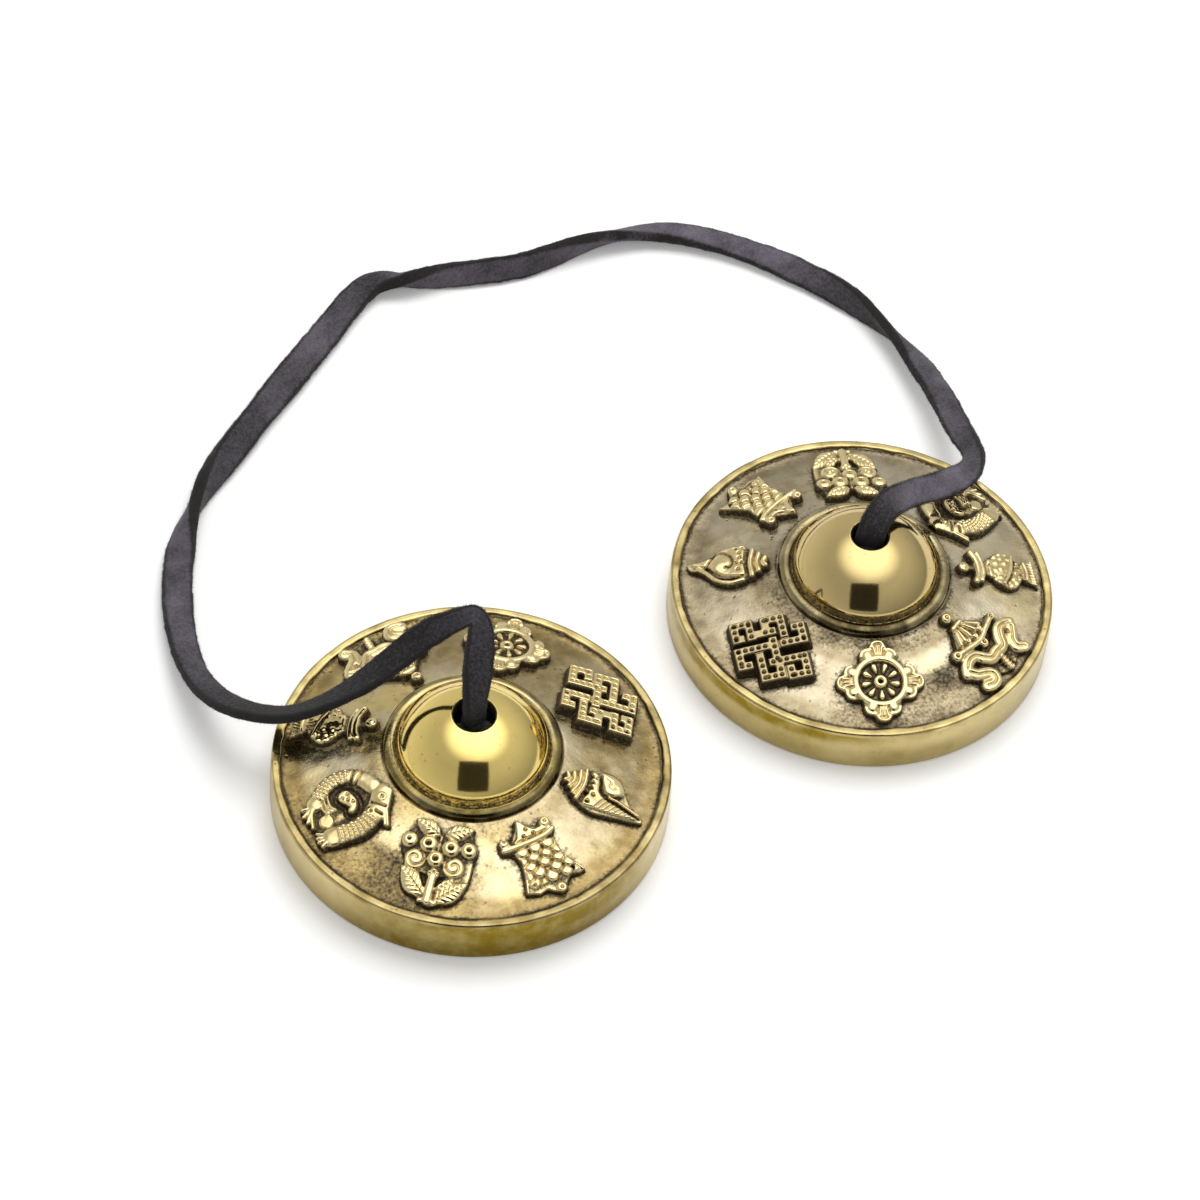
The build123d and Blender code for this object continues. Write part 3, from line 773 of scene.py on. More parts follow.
def conch():
    """Conch shell, its spire to the dome and its siphon to the rim."""
    r = Relief(-5.0, 5.8, -7.9, 7.8)
    plate = (
        (0.3, 7.4), (1.6, 6.5), (2.9, 5.1), (3.9, 3.4), (4.9, 1.2), (4.6, -0.8), (3.4, -2.3),
        (1.4, -3.8), (0.5, -4.8), (-0.5, -6.8), (-1.6, -7.2), (-2.4, -5.2), (-3.3, -2), (-4, 1),
        (-3.7, 3.4), (-2.6, 5), (-1.2, 6.5),
    )
    r.sheet(bend(plate, True), 0.65)
    body = (
        (-3.5, 3.3), (0, 3.1), (3.2, 3.8), (3.3, 2.2), (1.8, 1.3), (0.3, 0.9), (-0.3, -0.4),
        (-0.6, -3), (-1.0, -6.3), (-1.7, -6.4), (-2.8, -2.5), (-3.4, 0.8),
    )
    inside = r.area(bend(body, True))
    r.plate(inside, 1.2, 0.55)
    for v, half in ((6.75, 0.7), (5.8, 1.45), (4.9, 2.2), (4.05, 2.9)):
        r.roll(bend(((-half, v + 0.25), (0, v - 0.2), (half, v + 0.35))), 0.44, 0.75, 0.6)
    curl = (
        (3.6, 2.2), (4.3, 0.4), (4.0, -1.2), (2.6, -2.6), (1.3, -2.4), (0.55, -1.2), (0.6, 0.2),
        (1.6, 1.0),
    )
    r.ridge(np.maximum(r.area(bend(curl, True)) + 1.7, 0), 1.7, 0.75, 0.6)
    r.cut(bend(((3.2, 1.9), (1.5, 1.45), (0.4, 0.8), (0.2, -0.8), (1.0, -2.2))), 0.26, 0.45)
    r.cut(bend(((3.1, 1.0), (2.7, 0.0), (1.9, 0.1), (1.6, -0.6), (2.1, -1.2))), 0.17, 0.18)
    dots = (
        (-2.5, 2.4, 0.5), (-1.1, 3.0, 0.42), (-0.95, 1.9, 0.4), (0.1, 2.6, 0.4), (1.15, 2.7, 0.36),
        (2.15, 3.1, 0.34), (2.2, 2.3, 0.3),
    )
    for u, v, size in dots:
        r.pit(u, v, size, 0.75)
    for number in range(8):
        v, u = 0.5 - 0.85 * number, -2.95 + 0.2 * number
        stroke = r.path(bend(((u, v + 0.4), ((u - 0.7) / 2, v - 0.05), (-0.7, v - 0.55))))
        r.groove(np.where(inside < -0.12, stroke, 9.0), 0.17, 0.32)
    r.cut(bend(((-0.2, 0.4), (-0.35, -2.5), (-0.95, -6.4))), 0.24, 0.55)
    r.roll(bend(((0.15, -0.6), (0.0, -2.8), (-0.6, -6.2))), 0.26, 0.65, 0.35)
    return r


def swirled_conch():
    """Conch shell of the other casting, its mouth a large swirl."""
    r = Relief(-5.4, 5.2, -7.9, 7.5)
    plate = (
        (-0.3, 7.0), (1.2, 6.2), (2.4, 5.0), (3.1, 4.0), (3.8, 2.6), (4.3, 0.8), (4.0, -1.0),
        (2.8, -3.0), (1.3, -4.2), (0.5, -6.6), (-0.5, -7.3), (-1.4, -7.0), (-1.7, -5.0),
        (-2.7, -3.0), (-4.0, -1.4), (-4.6, 0.6), (-4.2, 2.8), (-3.2, 4.0), (-2.4, 5.2), (-1.5, 6.3),
    )
    r.sheet(bend(plate, True), 0.6)
    body = (
        (-3.9, 3.0), (-0.5, 3.0), (2.6, 3.2), (2.7, 0.6), (2.2, -1.6), (0.6, -3.4), (-0.2, -6.6),
        (-1.1, -6.7), (-1.6, -4.6), (-2.6, -2.8), (-3.9, -1.0), (-4.2, 1.2),
    )
    r.sheet(bend(body, True), 1.1, 0.55)
    for v, half in ((6.2, 0.8), (5.1, 1.8), (4.0, 2.7)):
        r.roll(bend(((-half, v + 0.1), (0, v - 0.25), (half, v + 0.2))), 0.52, 0.7, 0.65)
    r.boss(-0.3, -1.3, 1.9, 0.9, 0.5)
    swirl = (
        (0.7, -0.5), (0.5, 0.3), (-0.6, 0.75), (-1.9, 0.2), (-2.6, -1.2), (-2.3, -2.4),
        (-1.7, -3.8), (-1.3, -6.0),
    )
    r.cut(bend(swirl), 0.28, 0.5)
    mouth = ((-2.2, -2.4), (-0.9, -3.2), (0.6, -3.7), (2.2, -2.4), (2.9, -0.6), (2.9, 1.8))
    r.cut(bend(mouth), 0.28, 0.5)
    r.roll(bend(((3.3, 2.6), (3.7, 0.4), (3.0, -1.9), (1.2, -3.8), (0.2, -5.2))), 0.5, 0.55, 0.5)
    dots = (
        (-3.3, 2.4), (-3.3, 1.2), (-2.3, 1.8), (-1.3, 1.9), (-0.2, 2.3), (-0.2, 1.3), (1.2, 1.7),
    )
    for dot in dots:
        r.pit(*dot, 0.38, 0.7)
    return r


def banner():
    """Victory banner: a crowned roll over a flared skirt of scales."""
    r = Relief(-6.0, 6.9, -7.7, 7.7)
    plate = (
        (-0.9, 7.3), (0.2, 6.4), (1.0, 5.6), (1.8, 5.1), (2.6, 5.7), (3.6, 5.9), (4.4, 4.9),
        (4.2, 3.5), (3.7, 2.3), (3.6, 0.5), (4.1, -1.4), (5.1, -3.2), (6.2, -4.9), (4.7, -5.1),
        (3.4, -5.0), (2.5, -5.7), (1.9, -6.8), (0.7, -7.1), (-0.4, -6.5), (-1.2, -5.7),
        (-2.6, -6.0), (-3.8, -5.5), (-4.8, -5.2), (-3.9, -3.2), (-3.4, -0.8), (-3.6, 1.6),
        (-4.7, 2.1), (-5.4, 3.1), (-5.2, 4.4), (-4.2, 5.0), (-3.1, 4.3), (-1.9, 5.6),
    )
    r.sheet(plate, 0.7, 0.35)
    cloth = (
        (-3.3, 2.2), (3.4, 2.4), (3.3, 0.4), (3.8, -1.5), (5.5, -4.6), (-4.2, -4.9), (-3.5, -3),
        (-3.1, -0.8),
    )
    skirt = r.area(cloth)
    rows = (
        (-3.9, (-2.7, 0.5, 3.0)),
        (-2.6, (-3.2, -1.2, 1.8, 4.0)),
        (-1.2, (-2.1, 0.4, 2.8)),
        (0.1, (-3.0, -0.9, 1.4, 3.3)),
        (1.4, (-2.2, 0.0, 2.2)),
    )
    r.plate(skirt, 0.95, 0.3)
    for v, columns in rows:
        for u in columns:
            below = arc((u, v + 0.2), 1.12, 185, 355)
            r.ridge(np.where(skirt < 0, r.spot(u, v + 0.1), 9.0), 1.25, 0.85, 0.5)
            r.groove(np.where(skirt < 0, r.path(below), 9.0), 0.22, 0.42)
    hems = (((-3.35, 2.0), (-3.15, -0.8), (-4.4, -4.9)), ((3.45, 2.2), (3.5, -0.6), (5.7, -4.6)))
    for hem in hems:
        r.roll(bend(hem), 0.27, 0.65, 0.35)
    r.cut(((-3.4, 2.15), (3.5, 2.35)), 0.3, 0.35)
    crown = (
        (-0.9, 7.1), (-0.1, 6.6), (0.5, 5.5), (1.4, 4.8), (2.3, 4.9), (2.8, 5.7), (3.8, 5.7),
        (4.3, 4.7), (4.1, 3.4), (-4.9, 2.9), (-5.3, 3.7), (-4.7, 4.7), (-3.8, 4.5), (-3.1, 3.7),
        (-2.3, 4.3), (-1.7, 5.6), (-1.4, 6.8),
    )
    r.sheet(crown, 1.2, 0.5)
    r.roll(bend(((-4.9, 2.95), (-2.5, 2.8), (0, 2.75), (2.4, 2.95), (4.0, 3.5))), 0.55, 0.7, 0.65)
    for u, v, size in ((3.3, 4.85, 1.0), (-4.35, 4.0, 0.9)):
        r.boss(u, v, size, 0.9, 0.55)
    r.boss(1.0, -6.0, 1.0, 0.6, 0.6)
    dots = (
        (-0.1, 4.85), (-0.9, 3.85), (0.8, 3.85), (3.3, 5.0), (-4.2, 4.3), (4.1, -3.7), (-2.9, -4.2),
        (1.0, -6.1),
    )
    for dot in dots:
        r.pit(*dot, 0.36, 0.6)
    return r


def lotus():
    """Flower head of round buds between veined leaves."""
    r = Relief(-6.9, 7.0, -7.9, 7.7)
    plate = (
        (-6.2, 3.0), (-5.6, 4.7), (-4.4, 6.4), (-2.6, 6.8), (-0.6, 5.8), (0.1, 5.4), (1.4, 6.2),
        (3.2, 7.1), (4.6, 6.8), (5.4, 5.2), (6.4, 3.6), (6.2, 1.8), (6.3, -0.8), (6.0, -2.6),
        (4.7, -4.8), (2.6, -6.6), (0.7, -7.4), (-1.4, -6.2), (-3.6, -4.8), (-4.9, -2.2),
        (-4.9, -0.2), (-5.8, 1.4),
    )
    r.sheet(bend(plate, True), 0.62, 0.35)
    buds = (
        (-4.75, 3.1, 1.4, 0.35), (4.75, 3.5, 1.4, 0.45), (-1.65, 3.05, 1.5, 0.62),
        (1.95, 3.1, 1.5, 0.58), (0.05, 0.8, 1.4, 0.6),
    )
    for u, v, size, hole in buds:
        r.boss(u, v, size, 0.8, 0.7)
        r.pit(u, v, hole, 0.9)
    for u, v, way in ((-3.1, 0.15, 1), (3.2, 0.1, -1)):
        r.boss(u, v, 1.75, 0.8, 0.55)
        angles = np.linspace(0.3, 2.4 * pi, 40)
        reach = 0.3 + 0.17 * angles
        swirl = np.stack([u + way * reach * np.cos(angles), v + reach * np.sin(angles)], 1)
        r.cut(swirl, 0.22, 0.35)
    r.leaf((-0.1, 4.7), (-4.8, 6.9), 3.0, 0.7, 0.75, 5)
    r.leaf((0.4, 4.8), (4.9, 7.2), 3.0, 0.7, 0.75, 5)
    r.leaf((-0.2, -5.6), (-5.1, -1.2), 3.9, 0.65, 0.65, 6)
    r.leaf((1.6, -6.2), (6.2, -1.7), 3.4, 0.65, 0.65, 6)
    r.leaf((1.2, -4.6), (3.9, -1.6), 2.0, 0.7, 0.55, 4)
    r.floor(r.area(((-2.0, -1.7), (-0.5, -1.9), (-0.3, -4.4), (-0.8, -3.8))), 0.15)
    r.floor(r.area(((1.3, -1.9), (2.5, -1.6), (1.9, -2.9), (1.0, -4.2))), 0.15)
    r.roll(((0.35, -2.4), (0.5, -6.2)), 0.75, 0.7, 0.55)
    r.boss(0.35, -1.6, 1.0, 0.7, 0.55)
    r.cut(((-0.3, -1.0), (1.0, -1.8)), 0.16, 0.3)
    r.cut(((-0.2, -1.9), (0.9, -1.0)), 0.16, 0.3)
    r.roll(((0.1, 4.6), (0.1, 2.4)), 0.3, 0.6, 0.35)
    for way in (-1, 1):
        r.roll(((0.5, -5.9), (0.5 + way * 1.2, -6.4)), 0.45, 0.6, 0.4)
    return r


def fish_pair():
    """Two fish bent round a flower, heads to the dome and tails to the rim."""
    r = Relief(-5.9, 9.0, -7.7, 7.6)
    plate = (
        (0.9, 6.5), (1.6, 7.1), (3.4, 7.0), (5.2, 5.9), (8.4, 4.7), (8.2, 3.9), (7.2, 3.8),
        (7.9, 2.6), (8.4, 0.4), (7.9, -2.4), (7.0, -4.6), (7.1, -6.5), (5.2, -6.8), (3.2, -6.3),
        (1.6, -6.5), (-0.4, -7.1), (-1.6, -6.6), (-1.9, -5.4), (-3.0, -3.6), (-4.9, -1.4),
        (-5.2, 0.9), (-4.6, 3.0), (-3.6, 4.4), (-1.9, 5.2), (-0.6, 6.2),
    )
    r.sheet(bend(plate, True), 0.35, 0.35)
    left = (
        (0.5, 5.2), (-1.3, 4.4), (-2.9, 2.9), (-3.6, 0.7), (-3.3, -1.3), (-2.3, -3.0), (-1.3, -4.3),
    )
    right = ((2.5, 6.0), (4.2, 4.7), (5.6, 2.6), (6.2, 0.2), (6.0, -2.0), (5.5, -4.2))
    r.roll(bend(left), 1.5, 0.5, 0.75)
    r.roll(bend(right), 1.85, 0.5, 0.75)
    left_scales, right_scales = (-0.9, -0.3, 0.3, 0.9), (-1.2, -0.6, 0.0, 0.6, 1.2)
    for back, gills, ways in ((left, (8, 11), left_scales), (right, (6, 9), right_scales)):
        spine = bend(back)
        run = unit(np.gradient(spine, axis=0))
        across = np.stack([-run[:, 1], run[:, 0]], 1)
        for place in gills:
            half = 1.3 * across[place]
            r.cut((spine[place] - half, spine[place] + half), 0.26, 0.5)
        for number, place in enumerate(range(gills[1] + 3, len(spine) - 4, 2)):
            for way in ways:
                u, v = spine[place] + across[place] * (way + 0.3 * (number % 2))
                r.stud(r.spot(u, v), 0.3, 0.4)
    for tip in ((-1.2, -6.6), (0.1, -6.9), (1.4, -6.7), (2.6, -6.3)):
        r.roll(bend(((-1.3, -4.2), (0.35 * tip[0] - 0.7, -5.4), tip)), 0.36, 0.55, 0.55)
    for tip in ((3.9, -6.2), (4.7, -6.5), (5.5, -6.6), (6.4, -6.3)):
        r.roll(((5.4, -3.9), tip), 0.34, 0.55, 0.55)
    for shift in (0, -0.65, -1.3):
        wave = np.array(((-2.5, -1.1), (-1.2, -2.0), (0.5, -2.2), (1.5, -1.7))) + (0, shift)
        r.roll(bend(wave), 0.3, 0.55, 0.5)
    fins = (
        ((5.4, 5.6), (6.8, 5.0), (8.1, 4.5)),
        ((5.9, 4.8), (7.0, 4.4), (7.7, 4.1)),
        ((-2.2, 5.1), (-0.9, 5.9), (-0.2, 6.2)),
    )
    for fin in fins:
        r.roll(bend(fin), 0.32, 0.5, 0.4)
    bean = (
        (-1.2, 1.0), (-0.3, 1.9), (1.6, 2.3), (3.2, 1.7), (3.9, 0.4), (3.1, -0.5), (1.9, -0.2),
        (1.0, -0.7), (-0.2, -1.0), (-1.1, -0.2),
    )
    flower = r.area(bend(bean, True))
    r.floor(flower - 0.55, 0.15)
    r.plate(flower, 1.3, 0.6)
    for u, v in ((0.1, 1.0), (1.75, 1.35), (1.1, 0.65), (2.25, 0.25), (0.45, -0.05)):
        r.pit(u, v, 0.36, 0.6)
    r.plate(r.spot(2.5, -3.9) - 1.55, 0.8, 0.5)
    for u, v, size in ((3.4, 5.7, 0.55), (4.8, 3.1, 0.45)):
        r.ridge(np.abs(r.spot(u, v) - size), 0.24, 1.05, 0.35)
        r.pit(u, v, 0.28, 0.3)
    return r


def vase():
    """Treasure vase with a lid, a round belly and a flared foot."""
    r = Relief(-6.2, 3.9, -7.9, 7.7)
    belly = (r.u + 1.25) ** 2 / 4.0**2 + (r.v + 1.6) ** 2 / 3.1**2
    belly = (np.sqrt(belly) - 1) * 3.3
    r.plate(belly, 0.7, 0.4)
    r.ridge(np.maximum(belly + 3.3, 0), 3.3, 0.5, 0.6)
    for row, reach in ((0, 1.0), (1, 1.9), (2, 2.7)):
        for number in range(4 + 5 * row):
            angle = 2 * pi * number / (4 + 5 * row) + row
            u, v = -1.25 + 1.25 * reach * cos(angle), -1.6 + 0.95 * reach * sin(angle)
            r.boss(u, v, 0.5, 1.0 - 0.12 * row, 0.25)
    r.sheet(((-2.8, 2.6), (0.6, 2.6), (0.5, 0.6), (-2.8, 0.6)), 0.7)
    r.roll(((-2.7, 1.3), (0.4, 1.25)), 0.5, 0.65, 0.4)
    r.sheet(((-2.9, -4.2), (0.5, -4.2), (1.7, -7.3), (-4.6, -7.3)), 0.7)
    r.roll(bend(((-3.0, -5.2), (-1.2, -5.45), (0.6, -5.2))), 0.4, 0.7, 0.45)
    for number in range(9):
        u = -3.9 + 0.62 * number
        r.cut(((u, -6.0), (u - 0.2, -7.3)), 0.15, 0.3)
    lid = ((-4.2, 4.45), (-2.8, 3.8), (-1.1, 3.6), (0.5, 3.8), (1.8, 4.4))
    r.roll(bend(lid), 0.68, 0.6, 0.75)
    mouth = ((-4.0, 3.3), (-2.6, 2.85), (-1.1, 2.7), (0.6, 2.85), (1.9, 3.2))
    r.roll(bend(mouth), 0.46, 0.55, 0.65)
    r.roll(((-1.3, 5.2), (-1.2, 4.4)), 0.7, 0.4, 0.35)
    r.boss(-1.4, 6.2, 1.1, 0.5, 0.85)
    r.groove(np.abs(r.spot(-1.4, 6.2) - 0.55), 0.16, 0.2)
    r.roll(bend(((-4.3, -0.6), (-2.6, -1.7), (-0.6, -2.6), (1.7, -3.1))), 0.36, 1.0, 0.4)
    r.cut(bend(((-4.2, -1.15), (-2.6, -2.3), (-0.6, -3.2), (1.4, -3.7))), 0.2, 0.4)
    for number in range(5):
        u = -2.7 + 0.7 * number
        r.cut(((u, -3.5), (u + 0.05, -4.5)), 0.15, 0.3)
    r.pit(-0.5, 1.25, 0.32, 0.5)
    return r


def parasol():
    """Ribbed parasol over two waving ribbons and a tassel."""
    r = Relief(-8.2, 7.4, -7.9, 7.7)
    canopy = (
        (-5.4, 1.2), (-4.4, 2.4), (-3.0, 3.9), (-1.9, 5.1), (-1.0, 5.4), (0.2, 5.0), (1.6, 3.8),
        (3.4, 2.2), (5.0, 1.4), (3.2, 0.6), (1.4, 0.0), (-0.4, -0.2), (-2.4, 0.2), (-4.0, 0.7),
    )
    r.sheet(canopy, 0.65, 0.35)
    r.roll(((-1.9, 4.35), (0.2, 4.35)), 0.5, 0.7, 0.5)
    ribs = ((-2.3, -3.4, 1.6), (-1.7, -2.3, 1.6), (-0.9, -0.85, 1.4), (-0.1, 0.7, 1.6), (0.5, 2.1, 1.7))
    for top_u, u, v in ribs:
        r.ridge(r.taper((top_u, 3.6), (u, v), 0.24, 0.5), 1.0, 0.65, 0.6)
    for u, v in ((-1.9, 1.1), (-0.25, 0.75), (1.45, 1.1)):
        r.boss(u, v, 0.55, 0.75, 0.6)
        r.pit(u, v, 0.26, 0.4)
    fringe = ((-5.6, 1.0), (-3.2, 0.35), (-0.3, -0.25), (2.4, 0.35), (5.0, 0.95))
    r.roll(bend(fringe), 0.62, 0.6, 0.7)
    knobs = ((-5.6, 0.95, 1.1), (5.0, 0.95, 0.8), (-0.15, -1.0, 0.95), (-1.0, 6.35, 1.05))
    for u, v, size in knobs:
        r.boss(u, v, size, 0.55, 0.8)
        r.pit(u, v, 0.42, 0.8)
    ground = (
        (-7.4, -2.4), (-5.2, -0.4), (-3.0, -0.6), (0, -1.6), (3.4, -0.8), (5.6, -0.6), (7.0, -1.8),
        (5.6, -4.2), (5.4, -6.9), (3.4, -6.6), (1.0, -7.5), (-1.4, -7.5), (-3.6, -6.2),
        (-5.2, -7.2), (-7.2, -6.6), (-6.6, -4.4),
    )
    r.sheet(ground, 0.3, 0.35)
    ribbons = (
        ((-7.0, -2.2), (-6.0, -1.4), (-4.75, -0.95), (-3.4, -1.3), (-2.6, -2.5), (-1.6, -3.6),
         (0, -3.55), (1.7, -3.6), (2.7, -2.4), (3.8, -1.45), (5.0, -1.3), (6.4, -2.0)),
        ((-6.6, -2.3), (-5.9, -3.6), (-4.7, -4.5), (-4.0, -5.4), (-4.5, -6.4), (-5.6, -6.5),
         (-6.5, -6.0)),
        ((6.0, -2.7), (4.9, -3.6), (3.9, -4.4), (3.5, -5.6), (4.4, -6.6)),
    )
    for points in ribbons:
        line = r.path(bend(points))
        r.ridge(line, 1.2, 0.55, 0.7)
        r.groove(line, 0.24, 0.4)
    for u, v in ((-4.1, -2.5), (4.6, -2.75)):
        r.pit(u, v, 0.55, 0.4)
    r.roll(((0.1, -4.8), (-0.4, -7.0)), 0.75, 0.4, 0.7)
    for number in range(4):
        v = -5.0 - 0.62 * number
        r.cut(((-1.1, v - 0.1), (0.7, v + 0.1)), 0.16, 0.4)
    return r


# Each emblem with its place, in degrees clockwise from the wheel
EMBLEMS = (
    ("wheel", wheel, 0),
    ("endless_knot", endless_knot, 48),
    ("conch", conch, 97),
    ("banner", banner, 138),
    ("lotus", lotus, 181),
    ("fish_pair", fish_pair, 231),
    ("vase", vase, 266),
    ("parasol", parasol, 309),
)


def finished(relief):
    """Hand-worked height of an emblem, how far it is patinated, with painted shade on its steep walls,
    and how far it is worn.
    """
    raised = np.clip(relief.height, 0, None)
    height = soften(raised + STAND * ease(raised / 0.3), 0.1)
    depth = soften(highest_near(height, 0.8), 0.35) - height
    patina_and_shade = np.clip((depth - 0.18) / 0.5, 0, 0.95)
    patina_and_shade = np.maximum(patina_and_shade, ease(1 - height / (STAND + 0.3)))
    slope = np.hypot(*np.gradient(height, GRAIN))
    # Painted shade on the steep walls of the relief.
    patina_and_shade = np.maximum(patina_and_shade, 0.85 * ease((slope - 1.4) / 1.6))
    proud = height - soften(height, 0.7)
    wear_and_highlight = ease((proud + 0.04) / 0.3) * ease((height - STAND - 0.3) / 0.3) * (1 - patina_and_shade)
    shown = ease(height / 0.25)
    uneven = 0.025 * rough(relief.u, relief.v, 0.7, 21) + 0.03 * rough(relief.u, relief.v, 2.3, 22)
    return height + uneven * shown - SUNK * (1 - shown), patina_and_shade, wear_and_highlight, shown


def mirrored(relief, shift):
    """The same emblem the other way round, moved along the ring."""
    relief.u = shift - relief.u[:, ::-1]
    relief.height = relief.height[:, ::-1]
    return relief


def on_field(centre, angle, u, v, height):
    """Point above the sloping field of a cymbal, from its place on an emblem."""
    radius = RING_R - v * LEAN
    c, s = cos(angle), sin(angle)
    x, y = radius * c - u * s, radius * s + u * c
    away = np.hypot(x, y)
    z = field_height(away)
    lift = height * LEAN
    lean = height * SLOPE * LEAN / away
    return np.stack([centre[0] + x * (1 + lean), centre[1] + y * (1 + lean), z + lift], -1)


def emblem_mesh(name, relief, parts, centre, angle, materials, tarnish_and_shade, gold):
    """One emblem as a closed patch that runs into the field."""
    height, patina_and_shade, wear_and_highlight, _ = parts
    rows, columns = height.shape
    top = on_field(centre, angle, relief.u, relief.v, height).reshape(-1, 3)
    index = np.arange(rows * columns).reshape(rows, columns)
    corners = [index[:-1, :-1], index[:-1, 1:], index[1:, 1:], index[1:, :-1]]
    quads = np.stack(corners, -1).reshape(-1, 4)
    border = np.concatenate([index[0, :-1], index[:-1, -1], index[-1, :0:-1], index[:0:-1, 0]])
    under = top[border] - (0, 0, 0.6)
    middle = under.mean(0, keepdims=True)
    count = rows * columns
    ring = count + np.arange(len(border))
    walls = np.stack([np.roll(border, -1), border, ring, np.roll(ring, -1)], -1)
    fan = np.stack([np.roll(ring, -1), ring, np.full(len(ring), count + len(ring))], -1)
    faces = [*quads.tolist(), *walls.tolist(), *fan.tolist()]
    extra = np.zeros(len(border) + 1)
    attributes = {
        "patina_and_shade": np.concatenate([patina_and_shade.ravel(), extra]),
        "wear_and_highlight": np.concatenate([wear_and_highlight.ravel() * (1 - tarnish_and_shade), extra]),
        "tarnish_and_shade": np.full(count + len(extra), tarnish_and_shade),
        "gold": np.full(count + len(extra), gold),
    }
    return make_mesh(name, np.vstack([top, under, middle]), faces, materials, None, attributes)


# Casting

def run(start, end, step):
    """Points along a straight stretch, without its end."""
    start, end = np.array(start, float), np.array(end, float)
    count = max(1, round(np.linalg.norm(end - start) / step))
    return start + (end - start) * (np.arange(count) / count)[:, None]


def sweep_arc(centre, radius, start, end, step):
    """Points along an arc of the section, without its end, angles in radians."""
    count = max(2, round(abs(end - start) * radius / step))
    angles = start + (end - start) * np.arange(count) / count
    return np.stack([centre[0] + radius * np.cos(angles), centre[1] + radius * np.sin(angles)], 1)


def circle_through(a, b, c):
    """Centre and radius of a circle through three points."""
    a, b, c = np.array(a), np.array(b), np.array(c)
    centre = np.linalg.solve(2 * np.array([b - a, c - b]), [b @ b - a @ a, c @ c - b @ b])
    return centre, hypot(*(a - centre))


def section(hole_r):
    """Section of the casting, from the foot over the top and back below, in named stretches."""
    bevel, hole_bevel = 0.5, 0.3
    collar, collar_r = circle_through(FIELD_IN, COLLAR_TOP, COLLAR_IN)
    collar_from = atan2(FIELD_IN[1] - collar[1], FIELD_IN[0] - collar[0])
    collar_to = atan2(COLLAR_IN[1] - collar[1], COLLAR_IN[0] - collar[0])
    dome = (0, SPHERE_Z)
    dome_from = atan2(DOME_FOOT[1] - SPHERE_Z, DOME_FOOT[0])
    edge_r = hole_r + hole_bevel
    dome_to = atan2(sqrt(SPHERE_R**2 - edge_r**2), edge_r)
    top_z = SPHERE_Z + SPHERE_R * sin(dome_to)
    under_z = SPHERE_Z + sqrt(HOLLOW_R**2 - hole_r**2)
    hollow_from = atan2(under_z - SPHERE_Z, hole_r)
    hollow_to = atan2(UNDER_IN[1] - SPHERE_Z, UNDER_IN[0])
    wall = run((FOOT_R, bevel), (LIP_R, LIP_TOP - bevel), 0.45)
    wall[:, 0] += 0.07 * np.sin(pi * np.linspace(0, 1, len(wall)))
    cap = sweep_arc(dome, SPHERE_R, dome_from, dome_to, 0.25)
    cap[:, 0] -= DOME_TUCK * ease((DOME_FOOT[1] + 2.2 - cap[:, 1]) / 2.2)
    field = run(FIELD_OUT, FIELD_IN, 0.3)
    field[:, 1] = field_height(field[:, 0])
    return (
        ("under", run((RIM_IN + 0.3, 0.02), (FOOT_R - bevel, 0), 0.8)),
        ("rim", sweep_arc((FOOT_R - bevel, bevel), bevel, -pi / 2, 0, 0.2)),
        ("rim", wall),
        ("lip", sweep_arc((LIP_R - bevel, LIP_TOP - bevel), bevel, 0, pi / 2, 0.14)),
        ("lip", run((LIP_R - bevel, LIP_TOP), (LIP_IN + bevel, LIP_TOP), 0.15)),
        ("lip", sweep_arc((LIP_IN + bevel, LIP_TOP - bevel), bevel, pi / 2, pi, 0.12)),
        ("field", run((LIP_IN, LIP_TOP - bevel), FIELD_OUT, 0.1)),
        ("field", field),
        ("collar", sweep_arc(collar, collar_r, collar_from, collar_to, 0.12)),
        ("dome", cap),
        ("dome", sweep_arc((edge_r, top_z - hole_bevel), hole_bevel, pi / 2 - 0.25, pi, 0.1)),
        ("under", run((hole_r, top_z - hole_bevel), (hole_r, under_z), 0.5)),
        ("under", sweep_arc(dome, HOLLOW_R, hollow_from, hollow_to, 0.7)),
        ("under", run(UNDER_IN, UNDER_OUT, 1.2)),
        ("under", run(UNDER_OUT, (RIM_IN, 0.3), 0.8)),
    )


ZONES = ("rim", "lip", "field", "collar", "dome", "under")


def toward(heading, way, far, near):
    """Value that goes from one on the far side of a cymbal to another on the given side."""
    return np.maximum(far + (near - far) * (0.5 + 0.5 * np.cos(heading - radians(way))), 0)


def emblem_halo(x, y, turn, reliefs):
    """How near each point of the field is to an emblem, where dirt gathers and painted shade darkens
    the field.
    """
    margin = 15
    halo = np.zeros_like(x)
    for (_, _, place), (relief, parts) in zip(EMBLEMS, reliefs):
        heading = radians(turn - place)
        along = x * cos(heading) + y * sin(heading)
        across = -x * sin(heading) + y * cos(heading)
        column = np.round((across - relief.u[0, 0]) / GRAIN).astype(int)
        row = np.round(((RING_R - along) / LEAN - relief.v[0, 0]) / GRAIN).astype(int)
        wide = np.pad(parts[3], margin)
        cover = soften(wide, 0.55) * 0.9 + soften(wide, 1.3) * 0.3
        rows, columns = relief.u.shape
        near = (row > -margin) & (row < rows + margin - 1)
        near &= (column > -margin) & (column < columns + margin - 1)
        row = np.clip(row + margin, 0, rows + 2 * margin - 1)
        column = np.clip(column + margin, 0, columns + 2 * margin - 1)
        halo = np.maximum(halo, np.where(near, cover[row, column], 0))
    return halo


